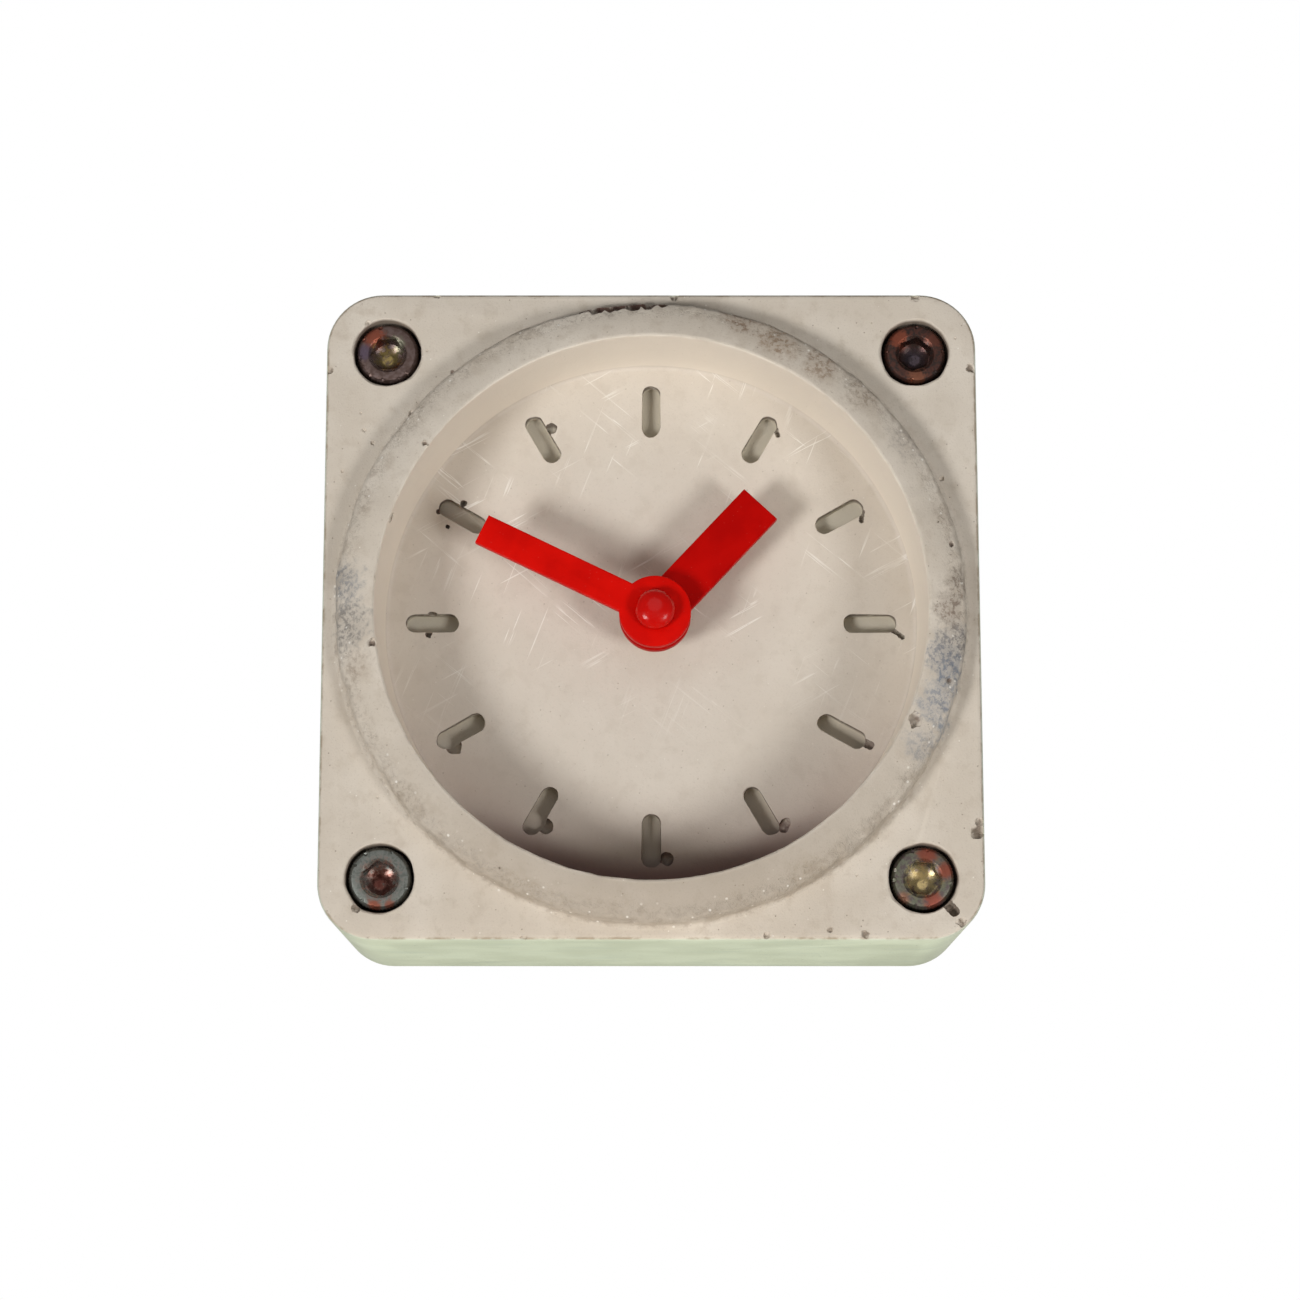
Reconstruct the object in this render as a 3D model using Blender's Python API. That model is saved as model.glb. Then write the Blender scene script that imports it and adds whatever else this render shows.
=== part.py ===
"""A small cast-concrete table clock with a quartz movement, as separate pieces.

The clock stands upright: +X is its right, +Z is up towards 12 o'clock, and its face looks along -Y.
Most sizes along Y are depths: distances back from the flat front of the case, so the raised ring has
negative depths. Every object is placed by its location, with its mesh drawn around its own axis.
"""

import math

import bmesh
import bpy
from mathutils import Matrix

MM = 0.001
GAP = 0.3 * MM  # left between pieces that rest on each other
RUNNING = 0.05 * MM  # radial clearance of a shaft in its bearing
BEYOND = 1 * MM  # how far a cutter runs past what it cuts
OVERLAP = 0.3 * MM  # how far two joined shapes run into each other

# Case: one concrete casting
CASE_SIDE = 105 * MM
CASE_DEPTH = 45 * MM
CASE_CORNER = 9 * MM
CASE_EDGE = 0.8 * MM
RING_MARGIN = 2.5 * MM  # from the ring's foot to the side of the case
RING_WIDTH = 6.3 * MM
RING_CREST = 6.3 * MM  # height of the ring's inner rim
RING_SHOULDER = 3.65 * MM  # height of the ring's outer edge
RECESS_DRAFT = 0.6 * MM
DIAL_DEPTH = 10 * MM
CENTRE_HOLE_CLEARANCE = 0.55 * MM  # radial, around the movement's bush
SLOT_COUNT = 12
SLOT_LENGTH = 8.6 * MM
SLOT_WIDTH = 3 * MM
SLOT_DEPTH = 2.5 * MM
SLOT_MARGIN = 3.3 * MM  # from a slot's outer end to the foot of the recess wall

# Fasteners: M6 socket-head screws, washers and nuts that clamp the back plate
SCREW_INSET = 9.8 * MM  # from the screw's axis to the sides of the case
HEAD_WIDTH = 10 * MM
HEAD_HEIGHT = 6 * MM
HEAD_SINK = 0.6 * MM
HEAD_CHAMFER = 0.5 * MM
HEAD_CLEARANCE = 0.45 * MM  # radial, in the counterbore
THREAD = 5.9 * MM
THREAD_CLEARANCE = 0.35 * MM  # radial, in the case and the back plate
NUT_CLEARANCE = 0.25 * MM  # radial, in the nut and the washer
SOCKET_FLATS = 5 * MM
SOCKET_DEPTH = 3 * MM
DRILL_SHARE = 0.96  # of the flats, the drill that goes ahead of the hexagonal punch
DRILL_SLOPE = 31  # degrees
TIP_INSIDE_NUT = 1.8 * MM
WASHER_WALL = 2.3 * MM
WASHER_THICKNESS = 1 * MM
NUT_FLATS = 10 * MM
NUT_HEIGHT = 5 * MM
REAR_MARGIN = 1.6 * MM  # from the nuts to the back of the case

# Back plate, in a rebate in the back of the case
PLATE_THICKNESS = 2 * MM
PLATE_MARGIN = 0.2 * MM  # plate outside the washers
REBATE_CLEARANCE = 0.3 * MM
PLATE_CORNER = 5.7 * MM
WINDOW_LAND = 1.5 * MM  # overlap of the plate on the movement
GASKET_THICKNESS = 1 * MM

# Movement: a square quartz module in a pocket behind the dial
HAND_AXIS_X = 0.6 * MM  # the module sits a little to one side
MOVEMENT_CORNER = 1.5 * MM
HOUSING_WALL = 1.5 * MM
BAY_WALL = 1.8 * MM  # below and beside the battery
BAY_FRONT_WALL = 0.9 * MM
WHEEL_ROOM = 9.6 * MM  # from the hands' axis to the wall above the battery
POCKET_CLEARANCE = 1 * MM
COVER_THICKNESS = 1.2 * MM
DIAL_WASHER_THICKNESS = 0.6 * MM
DIAL_WASHER_WIDTH = 20 * MM
BUSH_WALL = 1.2 * MM
BUSH_FLANGE = 12 * MM
BUSH_FLANGE_THICKNESS = 1 * MM
BUSH_PROUD = 1.4 * MM  # in front of the dial

# Battery, one AA cell across the bottom of the module
BATTERY_WIDTH = 14.5 * MM
BATTERY_LENGTH = 50.5 * MM
BATTERY_BUTTON = 5.5 * MM
BATTERY_BUTTON_HEIGHT = 1.2 * MM
BATTERY_EDGE = 0.6 * MM
CONTACT_THICKNESS = 0.35 * MM
CONTACT_WIDTH = 8 * MM
CONTACT_BELOW_RIM = 1.5 * MM

# Hands
HOUR_LIFT = 5.1 * MM  # from the dial to the hour hand
HAND_THICKNESS = 2 * MM
HAND_SPACING = 1.3 * MM
HUB_WIDTH = 11.5 * MM
MINUTE_WIDTH = 4.9 * MM
MINUTE_TIP_GAP = 0.4 * MM  # from the minute hand's tip to the slots' inner ends
HOUR_WIDTH = 7.2 * MM
HOUR_SHORTER = 5.8 * MM
MINUTE_ANGLE = 295.9  # degrees clockwise from 12 o'clock
HOUR_ANGLE = 43.0
CAP_WIDTH = 6.4 * MM
CAP_HEIGHT = 2.6 * MM
CAP_WALL_HEIGHT = 1 * MM
ARBOR_WIDTH = 3.4 * MM
PIPE_WALL = 0.95 * MM
PIPE_PROUD = 0.2 * MM  # of the hour hand
PRESSED_CLEARANCE = 0.15 * MM  # radial, drawn between a hand and the shaft it is pressed on

# Gears: teeth, distances between arbors and directions (degrees up from +X)
MINUTE_PINION = 10
CHANGE_WHEEL = 30
CHANGE_PINION = 8
HOUR_WHEEL = 32
CHANGE_DISTANCE = 9.5 * MM
CHANGE_DIRECTION = 20
ROTOR_PINION = 8
INTERMEDIATE_WHEEL = 48
INTERMEDIATE_PINION = 8
SECONDS_WHEEL = 40
SECONDS_PINION = 8
THIRD_WHEEL = 60
THIRD_PINION = 8
CENTRE_WHEEL = 64
THIRD_DISTANCE = 9 * MM
THIRD_DIRECTION = 180
INTERMEDIATE_DISTANCE = 9.12 * MM
INTERMEDIATE_DIRECTION = 100
ROTOR_DISTANCE = 8.4 * MM
ROTOR_DIRECTION = 60
TOOTH_RISE = 0.85  # of a tooth above the pitch circle, in modules
TOOTH_DROP = 1.1
GEAR_THICKNESS = 1.1 * MM
LEVEL_STEP = 1.6 * MM  # from one layer of gears to the next
SMALL_ARBOR = 1 * MM
PIVOT_LENGTH = 0.8 * MM  # of the seconds wheel's pin inside the minute arbor
PIVOT_SOCKET = 1.2 * MM
CHANGE_ARBOR = 1.8 * MM
KNOB_WIDTH = 11 * MM
KNOB_HEIGHT = 3 * MM
KNOB_BORE_END = 0.8 * MM  # from the bottom of the knob's bore to its top
KNOB_PLAY = 0.2 * MM
KNOB_RIDGES = 16

# Motor and circuit
MAGNET_WIDTH = 6 * MM
MAGNET_LENGTH = 3.6 * MM
STATOR_THICKNESS = 1 * MM
STATOR_WIDTH = 8.1 * MM
STATOR_LENGTH = 32 * MM
STATOR_LEG = 5 * MM
COIL_WIDTH = 5.2 * MM
MAGNET_CLEARANCE = 0.5 * MM  # radial, in the stator
BOARD_WIDTH = 11 * MM
BOARD_HEIGHT = 22 * MM
BOARD_THICKNESS = 1 * MM
CRYSTAL_WIDTH = 3 * MM
CRYSTAL_LENGTH = 8 * MM

LARGE_ROUND = 60  # sides of a large circle
SMALL_ROUND = 24
HOLE_ROUND = 16
TINY_ROUND = 12

# Places that follow from the sizes above
RING_OUTER = CASE_SIDE / 2 - RING_MARGIN
RING_INNER = RING_OUTER - RING_WIDTH
DIAL_RADIUS = RING_INNER - RECESS_DRAFT
SLOT_OUTER = DIAL_RADIUS - SLOT_MARGIN
SLOT_INNER = SLOT_OUTER - SLOT_LENGTH
SCREW_OFFSET = CASE_SIDE / 2 - SCREW_INSET
HEAD_BOTTOM = HEAD_SINK + HEAD_HEIGHT
COUNTERBORE = HEAD_WIDTH + 2 * HEAD_CLEARANCE
THREAD_HOLE = THREAD + 2 * THREAD_CLEARANCE
FASTENER_BORE = THREAD + 2 * NUT_CLEARANCE
WASHER_WIDTH = FASTENER_BORE + 2 * WASHER_WALL
PIPE_BORE = ARBOR_WIDTH + 2 * RUNNING
PIPE_WIDTH = PIPE_BORE + 2 * PIPE_WALL
BUSH_BORE = PIPE_WIDTH + 2 * RUNNING
BUSH_WIDTH = BUSH_BORE + 2 * BUSH_WALL
CENTRE_HOLE = BUSH_WIDTH + 2 * CENTRE_HOLE_CLEARANCE
BAY_LENGTH = BATTERY_LENGTH + 2 * (CONTACT_THICKNESS + 2 * GAP)
BAY_HEIGHT = BATTERY_WIDTH + 2 * GAP
MOVEMENT_SIDE = 2 * BAY_WALL + max(BAY_LENGTH, 2 * (WHEEL_ROOM + HOUSING_WALL + BAY_HEIGHT))
MOVEMENT_DEPTH = BAY_HEIGHT + BAY_FRONT_WALL
NUT_BACK = CASE_DEPTH - REAR_MARGIN
NUT_FRONT = NUT_BACK - NUT_HEIGHT
WASHER_FRONT = NUT_FRONT - GAP - WASHER_THICKNESS
PLATE_FRONT = WASHER_FRONT - GAP - PLATE_THICKNESS
REBATE_FLOOR = PLATE_FRONT - GAP
PLATE_SIDE = 2 * (SCREW_OFFSET + WASHER_WIDTH / 2 + PLATE_MARGIN)
REBATE_SIDE = PLATE_SIDE + 2 * REBATE_CLEARANCE
WINDOW_SIDE = MOVEMENT_SIDE - 2 * WINDOW_LAND
MOVEMENT_BACK = PLATE_FRONT - 2 * GAP - GASKET_THICKNESS
MOVEMENT_FRONT = MOVEMENT_BACK - MOVEMENT_DEPTH
DIAL_WASHER_FRONT = MOVEMENT_FRONT - GAP - DIAL_WASHER_THICKNESS
POCKET_FLOOR = DIAL_WASHER_FRONT - GAP
POCKET_SIDE = MOVEMENT_SIDE + 2 * POCKET_CLEARANCE
COVER_BACK = MOVEMENT_FRONT + COVER_THICKNESS
FLANGE_FRONT = COVER_BACK + GAP
FIRST_LEVEL = FLANGE_FRONT + BUSH_FLANGE_THICKNESS + GAP
HOUSING_BACK_WALL = MOVEMENT_BACK - HOUSING_WALL
BAY_BOTTOM = BAY_WALL - MOVEMENT_SIDE / 2
BAY_TOP = BAY_BOTTOM + BAY_HEIGHT
BATTERY_Z = (BAY_BOTTOM + BAY_TOP) / 2
BAY_FLOOR = MOVEMENT_FRONT + BAY_FRONT_WALL
BATTERY_DEPTH = (BAY_FLOOR + MOVEMENT_BACK) / 2
TRAIN_BOTTOM = BAY_TOP + HOUSING_WALL
TRAIN_SIDE = MOVEMENT_SIDE - 2 * HOUSING_WALL
HOUR_BACK = DIAL_DEPTH - HOUR_LIFT
HOUR_FRONT = HOUR_BACK - HAND_THICKNESS
MINUTE_BACK = HOUR_FRONT - HAND_SPACING
MINUTE_FRONT = MINUTE_BACK - HAND_THICKNESS
MINUTE_LENGTH = SLOT_INNER - MINUTE_TIP_GAP
HOUR_LENGTH = MINUTE_LENGTH - HOUR_SHORTER
FACE_Y = -(CASE_DEPTH - RING_CREST) / 2  # puts the middle of the clock's depth at y = 0
CENTRE_Z = CASE_SIDE / 2


def level(index):
    """Front and back depth of one layer of the gears, counted from the hour wheel's."""
    front = FIRST_LEVEL + index * LEVEL_STEP
    return front, front + GEAR_THICKNESS


def polar(distance, degrees):
    """(x, z) at this distance and this angle up from +X."""
    angle = math.radians(degrees)
    return distance * math.cos(angle), distance * math.sin(angle)


# Shapes: each function returns a bmesh drawn around the Y axis


def prism(outline, front, back):
    """A straight solid between two depths, from its outline of (x, z) points."""
    bm = bmesh.new()
    face = bm.faces.new([bm.verts.new((x, front, z)) for x, z in outline])
    extruded = bmesh.ops.extrude_face_region(bm, geom=[face])["geom"]
    moved = [item for item in extruded if isinstance(item, bmesh.types.BMVert)]
    bmesh.ops.translate(bm, verts=moved, vec=(0, back - front, 0))
    bmesh.ops.recalc_face_normals(bm, faces=bm.faces)
    return bm


def turned(profile, steps, ring=False):
    """A turned solid, from a profile of (radius, depth) points. A ring's profile is a closed loop."""
    bm = bmesh.new()
    points = [bm.verts.new((radius, depth, 0)) for radius, depth in profile]
    ends = points[1:] + points[:1] if ring else points[1:]
    edges = [bm.edges.new(pair) for pair in zip(points, ends)]
    bmesh.ops.spin(
        bm, geom=points + edges, cent=(0, 0, 0), axis=(0, 1, 0), angle=math.tau, steps=steps, use_merge=True
    )
    bmesh.ops.remove_doubles(bm, verts=bm.verts, dist=0.001 * MM)
    bmesh.ops.recalc_face_normals(bm, faces=bm.faces)
    return bm


def shaft(width, front, back, steps=SMALL_ROUND):
    radius = width / 2
    return turned([(0, front), (radius, front), (radius, back), (0, back)], steps)


def tube(outside, inside, front, back, steps=SMALL_ROUND):
    wall = [(inside / 2, front), (outside / 2, front), (outside / 2, back), (inside / 2, back)]
    return turned(wall, steps, ring=True)


def arc(centre, radius, start, end, steps):
    """Points on an arc, with its angles in degrees up from +X."""
    turns = [math.radians(start + (end - start) * i / steps) for i in range(steps + 1)]
    return [(centre[0] + radius * math.cos(a), centre[1] + radius * math.sin(a)) for a in turns]


def rounded_box(left, right, bottom, top, corner, steps=6):
    outline = []
    corners = ((right, top, 0), (left, top, 90), (left, bottom, 180), (right, bottom, 270))
    for x, z, start in corners:
        inward_x = x - math.copysign(corner, x - (left + right) / 2)
        inward_z = z - math.copysign(corner, z - (bottom + top) / 2)
        outline += arc((inward_x, inward_z), corner, start, start + 90, steps)
    return outline


def rounded_square(side, corner, steps=6):
    return rounded_box(-side / 2, side / 2, -side / 2, side / 2, corner, steps)


def hexagon(flats):
    return arc((0, 0), flats / math.sqrt(3), 30, 330, 5)


def gear(teeth, module, tooth_direction, front, back):
    """A gear with one tooth centred on tooth_direction, in degrees up from +X."""
    pitch = 360 / teeth
    tip_radius = teeth * module / 2 + TOOTH_RISE * module
    root_radius = teeth * module / 2 - TOOTH_DROP * module
    tip, root = (0.22, 0.44) if teeth <= 10 else (0.26, 0.58)  # tooth thickness, as a share of the pitch
    corners = ((root_radius, -root), (tip_radius, -tip), (tip_radius, tip), (root_radius, root))
    outline = []
    for tooth in range(teeth):
        for radius, share in corners:
            outline.append(polar(radius, tooth_direction + pitch * (tooth + share / 2)))
    return prism(outline, front, back)


def module_for(distance, teeth_a, teeth_b):
    return 2 * distance / (teeth_a + teeth_b)


def facing_gap(teeth, direction):
    """The tooth direction of a gear that shows a gap, not a tooth, to its neighbour in this direction."""
    return direction + 180 / teeth


def moved(bm, x=0.0, z=0.0):
    bmesh.ops.translate(bm, verts=bm.verts, vec=(x, 0, z))
    return bm


def laid_along(axis, bm, depth):
    """The shape turned so that its own Y axis lies along X or Z, at this depth."""
    turn = Matrix.Rotation(-math.pi / 2, 4, "Z") if axis == "X" else Matrix.Rotation(math.pi / 2, 4, "X")
    bmesh.ops.transform(bm, verts=bm.verts, matrix=Matrix.Translation((0, depth, 0)) @ turn)
    return bm


def together(shapes):
    """Several shapes that stand apart, as one bmesh to cut with."""
    whole = bmesh.new()
    for shape in shapes:
        mesh = bpy.data.meshes.new("shape")
        shape.to_mesh(mesh)
        shape.free()
        whole.from_mesh(mesh)
        bpy.data.meshes.remove(mesh)
    return whole


# Objects


def material(name, colour, roughness, metallic=0.0):
    made = bpy.data.materials.new(name)
    made.use_nodes = True
    shader = made.node_tree.nodes["Principled BSDF"]
    shader.inputs["Base Color"].default_value = (*colour, 1)
    shader.inputs["Roughness"].default_value = roughness
    shader.inputs["Metallic"].default_value = metallic
    return made


def place(name, mesh, x, z):
    """An object at (x, z) from the middle of the face, whose mesh has its depths along Y."""
    made = bpy.data.objects.new(name, mesh)
    made.location = (x, FACE_Y, CENTRE_Z + z)
    bpy.context.scene.collection.objects.link(made)
    return made


def solid(name, bm, finish, x=0.0, z=0.0, add=(), cut=(), solver="EXACT"):
    """One closed piece: a shape with others joined to it and others cut from it, drawn around (x, z)."""
    mesh = bpy.data.meshes.new(name)
    bm.to_mesh(mesh)
    bm.free()
    piece = place(name, mesh, x, z)
    for operation, shapes in (("UNION", add), ("DIFFERENCE", cut)):
        for shape in shapes:
            apply_boolean(piece, shape, operation, solver)
    piece.data.materials.clear()
    piece.data.materials.append(finish)
    piece.data.shade_smooth()
    piece.data.set_sharp_from_angle(angle=math.radians(32))
    return piece


def apply_boolean(piece, shape, operation, solver):
    mesh = bpy.data.meshes.new("tool")
    shape.to_mesh(mesh)
    shape.free()
    tool = bpy.data.objects.new("tool", mesh)
    tool.matrix_world = piece.matrix_basis
    bpy.context.scene.collection.objects.link(tool)
    modifier = piece.modifiers.new(operation, "BOOLEAN")
    modifier.operation = operation
    modifier.solver = solver
    modifier.object = tool
    bpy.context.view_layer.update()
    graph = bpy.context.evaluated_depsgraph_get()
    result = bpy.data.meshes.new_from_object(piece.evaluated_get(graph))
    piece.modifiers.clear()
    piece.data = result
    result.name = piece.name
    bpy.data.objects.remove(tool)


def corners():
    """The four screws' names and places."""
    for vertical, z in (("top", SCREW_OFFSET), ("bottom", -SCREW_OFFSET)):
        for side, x in (("left", -SCREW_OFFSET), ("right", SCREW_OFFSET)):
            yield f"{vertical}_{side}", x, z


# Pieces of the case


def slot(index):
    """A round-ended marker slot in the dial, along a radius."""
    half = SLOT_WIDTH / 2
    outer_end = arc((SLOT_OUTER - half, 0), half, -90, 90, HOLE_ROUND // 4)
    inner_end = arc((SLOT_INNER + half, 0), half, 90, 270, HOLE_ROUND // 4)
    bm = prism(outer_end + inner_end, DIAL_DEPTH - BEYOND, DIAL_DEPTH + SLOT_DEPTH)
    turn = Matrix.Rotation(math.tau * index / SLOT_COUNT, 4, "Y")
    bmesh.ops.transform(bm, verts=bm.verts, matrix=turn)
    return bm


def screw_hole():
    """The counterbore for a screw's head, and the hole for its thread right through the case."""
    floor = HEAD_BOTTOM + GAP
    profile = [
        (0, -BEYOND),
        (COUNTERBORE / 2, -BEYOND),
        (COUNTERBORE / 2, floor),
        (THREAD_HOLE / 2, floor),
        (THREAD_HOLE / 2, REBATE_FLOOR + BEYOND),
        (0, REBATE_FLOOR + BEYOND),
    ]
    return turned(profile, HOLE_ROUND)


def make_case(finish):
    block = prism(rounded_square(CASE_SIDE, CASE_CORNER), 0, CASE_DEPTH)
    rims = [edge for edge in block.edges if edge.calc_face_angle() > math.radians(60)]
    bmesh.ops.bevel(
        block, geom=rims, offset=CASE_EDGE, offset_type="OFFSET", segments=1, profile=0.5, affect="EDGES"
    )
    root = DIAL_DEPTH / 2
    ring = [
        (0, root),
        (RING_OUTER, root),
        (RING_OUTER, -RING_SHOULDER),
        (RING_INNER, -RING_CREST),
        (0, -RING_CREST),
    ]
    wall_slope = RECESS_DRAFT / (DIAL_DEPTH + RING_CREST)
    mouth = RING_CREST + BEYOND
    recess = [
        (0, -mouth),
        (DIAL_RADIUS + wall_slope * (DIAL_DEPTH + mouth), -mouth),
        (DIAL_RADIUS, DIAL_DEPTH),
        (0, DIAL_DEPTH),
    ]
    beyond = CASE_DEPTH + BEYOND
    pocket = prism(rounded_square(POCKET_SIDE, 2 * MOVEMENT_CORNER, 4), POCKET_FLOOR, beyond)
    rebate = prism(rounded_square(REBATE_SIDE, PLATE_CORNER + REBATE_CLEARANCE), REBATE_FLOOR, beyond)
    solid(
        "case",
        block,
        finish,
        add=[turned(ring, LARGE_ROUND)],
        cut=[
            turned(recess, LARGE_ROUND),
            together(slot(index) for index in range(SLOT_COUNT)),
            together(moved(screw_hole(), x, z) for _, x, z in corners()),
            moved(shaft(CENTRE_HOLE, DIAL_DEPTH - BEYOND, POCKET_FLOOR + BEYOND), HAND_AXIS_X),
            pocket,
            rebate,
        ],
        solver="MANIFOLD",  # the exact solver leaves the slots open where they meet the facets of some dials
    )


def make_screws(finish):
    chamfer = HEAD_CHAMFER
    head, thread = HEAD_WIDTH / 2, THREAD / 2
    tip = NUT_BACK - TIP_INSIDE_NUT
    profile = [
        (0, HEAD_SINK),
        (head - chamfer, HEAD_SINK),
        (head, HEAD_SINK + chamfer),
        (head, HEAD_BOTTOM),
        (thread, HEAD_BOTTOM),
        (thread, tip - chamfer),
        (thread - chamfer, tip),
        (0, tip),
    ]
    socket_bottom = HEAD_SINK + SOCKET_DEPTH
    drill = DRILL_SHARE * SOCKET_FLATS / 2
    drill_point = [
        (0, HEAD_SINK - BEYOND),
        (drill, HEAD_SINK - BEYOND),
        (drill, socket_bottom),
        (0, socket_bottom + drill * math.tan(math.radians(DRILL_SLOPE))),
    ]
    first, *others = corners()
    screw = solid(
        f"screw_{first[0]}",
        turned(profile, SMALL_ROUND),
        finish,
        *first[1:],
        cut=[prism(hexagon(SOCKET_FLATS), HEAD_SINK - BEYOND, socket_bottom), turned(drill_point, SMALL_ROUND)],
    )
    for name, x, z in others:
        place(f"screw_{name}", screw.data, x, z)


def make_washers_and_nuts(finish):
    first, *others = corners()
    ring = tube(WASHER_WIDTH, FASTENER_BORE, WASHER_FRONT, WASHER_FRONT + WASHER_THICKNESS)
    washer = solid(f"washer_{first[0]}", ring, finish, *first[1:])
    bore = shaft(FASTENER_BORE, NUT_FRONT - BEYOND, NUT_BACK + BEYOND)
    nut = solid(f"nut_{first[0]}", prism(hexagon(NUT_FLATS), NUT_FRONT, NUT_BACK), finish, *first[1:], cut=[bore])
    for name, x, z in others:
        place(f"washer_{name}", washer.data, x, z)
        place(f"nut_{name}", nut.data, x, z)


def make_back_plate(finish):
    front, back = PLATE_FRONT, PLATE_FRONT + PLATE_THICKNESS
    window = prism(rounded_square(WINDOW_SIDE, 2 * MOVEMENT_CORNER, 4), front - BEYOND, back + BEYOND)
    hole = (THREAD_HOLE, front - BEYOND, back + BEYOND, HOLE_ROUND)
    solid(
        "back_plate",
        prism(rounded_square(PLATE_SIDE, PLATE_CORNER), front, back),
        finish,
        cut=[moved(window, HAND_AXIS_X), together(moved(shaft(*hole), x, z) for _, x, z in corners())],
    )


def make_seals(foam, rubber):
    front, back = MOVEMENT_BACK + GAP, MOVEMENT_BACK + GAP + GASKET_THICKNESS
    window = prism(rounded_square(WINDOW_SIDE, MOVEMENT_CORNER, 4), front - BEYOND, back + BEYOND)
    frame = prism(rounded_square(MOVEMENT_SIDE, MOVEMENT_CORNER, 4), front, back)
    solid("movement_gasket", frame, foam, x=HAND_AXIS_X, cut=[window])
    hole = BUSH_WIDTH + 2 * GAP
    ring = tube(DIAL_WASHER_WIDTH, hole, DIAL_WASHER_FRONT, DIAL_WASHER_FRONT + DIAL_WASHER_THICKNESS)
    solid("dial_washer", ring, rubber, x=HAND_AXIS_X)


# Pieces of the movement


def arbor_places():
    """Each arbor's (x, z) from the hands' axis."""
    third = polar(THIRD_DISTANCE, THIRD_DIRECTION)
    intermediate = polar(INTERMEDIATE_DISTANCE, INTERMEDIATE_DIRECTION)
    step = polar(ROTOR_DISTANCE, ROTOR_DIRECTION)
    return {
        "change": polar(CHANGE_DISTANCE, CHANGE_DIRECTION),
        "third": third,
        "intermediate": intermediate,
        "rotor": (intermediate[0] + step[0], intermediate[1] + step[1]),
        "seconds": (0.0, 0.0),
    }


def arbor_width(name):
    return CHANGE_ARBOR if name == "change" else SMALL_ARBOR


def bearings(names, front, back):
    """Holes for these arbors, with running clearance."""
    for name in names:
        x, z = arbor_places()[name]
        yield moved(shaft(arbor_width(name) + 2 * RUNNING, front, back, TINY_ROUND), x, z)


def make_housing(plastic, cover_plastic):
    half_train = TRAIN_SIDE / 2
    train = rounded_box(-half_train, half_train, TRAIN_BOTTOM, half_train, MOVEMENT_CORNER, 3)
    bay = rounded_box(-BAY_LENGTH / 2, BAY_LENGTH / 2, BAY_BOTTOM, BAY_TOP, MOVEMENT_CORNER, 3)
    outer = prism(rounded_square(MOVEMENT_SIDE, MOVEMENT_CORNER, 4), MOVEMENT_FRONT, MOVEMENT_BACK)
    through = (HOUSING_BACK_WALL - BEYOND, MOVEMENT_BACK + BEYOND)
    solid(
        "movement_housing",
        outer,
        plastic,
        x=HAND_AXIS_X,
        cut=[
            prism(train, MOVEMENT_FRONT - BEYOND, HOUSING_BACK_WALL),
            prism(bay, BAY_FLOOR, MOVEMENT_BACK + BEYOND),
            together(bearings(arbor_places(), *through)),
        ],
    )
    edge = half_train - GAP
    lid = rounded_box(-edge, edge, TRAIN_BOTTOM + GAP, edge, MOVEMENT_CORNER, 3)
    through = (MOVEMENT_FRONT - BEYOND, COVER_BACK + BEYOND)
    solid(
        "movement_cover",
        prism(lid, MOVEMENT_FRONT, COVER_BACK),
        cover_plastic,
        x=HAND_AXIS_X,
        cut=[
            shaft(BUSH_WIDTH + 2 * GAP, *through),
            together(bearings(("change", "third", "intermediate", "rotor"), *through)),
        ],
    )


def make_bush(brass):
    inner, outer = BUSH_BORE / 2, BUSH_WIDTH / 2
    flange_back = FLANGE_FRONT + BUSH_FLANGE_THICKNESS
    nose = DIAL_DEPTH - BUSH_PROUD
    profile = [
        (inner, nose),
        (outer, nose),
        (outer, FLANGE_FRONT),
        (BUSH_FLANGE / 2, FLANGE_FRONT),
        (BUSH_FLANGE / 2, flange_back),
        (inner, flange_back),
    ]
    solid("threaded_bush", turned(profile, SMALL_ROUND, ring=True), brass, x=HAND_AXIS_X)


def make_battery(label, steel):
    """The cell lies along X, so it is turned around its own axis and laid down."""
    half, radius, edge = BATTERY_LENGTH / 2, BATTERY_WIDTH / 2, BATTERY_EDGE
    body_end = half - BATTERY_BUTTON_HEIGHT
    profile = [
        (0, -half),
        (radius - edge, -half),
        (radius, -half + edge),
        (radius, body_end - edge),
        (radius - edge, body_end),
        (BATTERY_BUTTON / 2, body_end),
        (BATTERY_BUTTON / 2, half),
        (0, half),
    ]
    cell = laid_along("X", turned(profile, SMALL_ROUND), BATTERY_DEPTH)
    solid("battery", cell, label, x=HAND_AXIS_X, z=BATTERY_Z)
    inner = half + GAP
    for name, sign in (("contact_negative", -1), ("contact_positive", 1)):
        low, high = sorted((sign * inner, sign * (inner + CONTACT_THICKNESS)))
        reach = CONTACT_WIDTH / 2
        strip = [(low, -reach), (high, -reach), (high, reach), (low, reach)]
        front, back = BAY_FLOOR + GAP, MOVEMENT_BACK - CONTACT_BELOW_RIM
        solid(name, prism(strip, front, back), steel, x=HAND_AXIS_X, z=BATTERY_Z)


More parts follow.
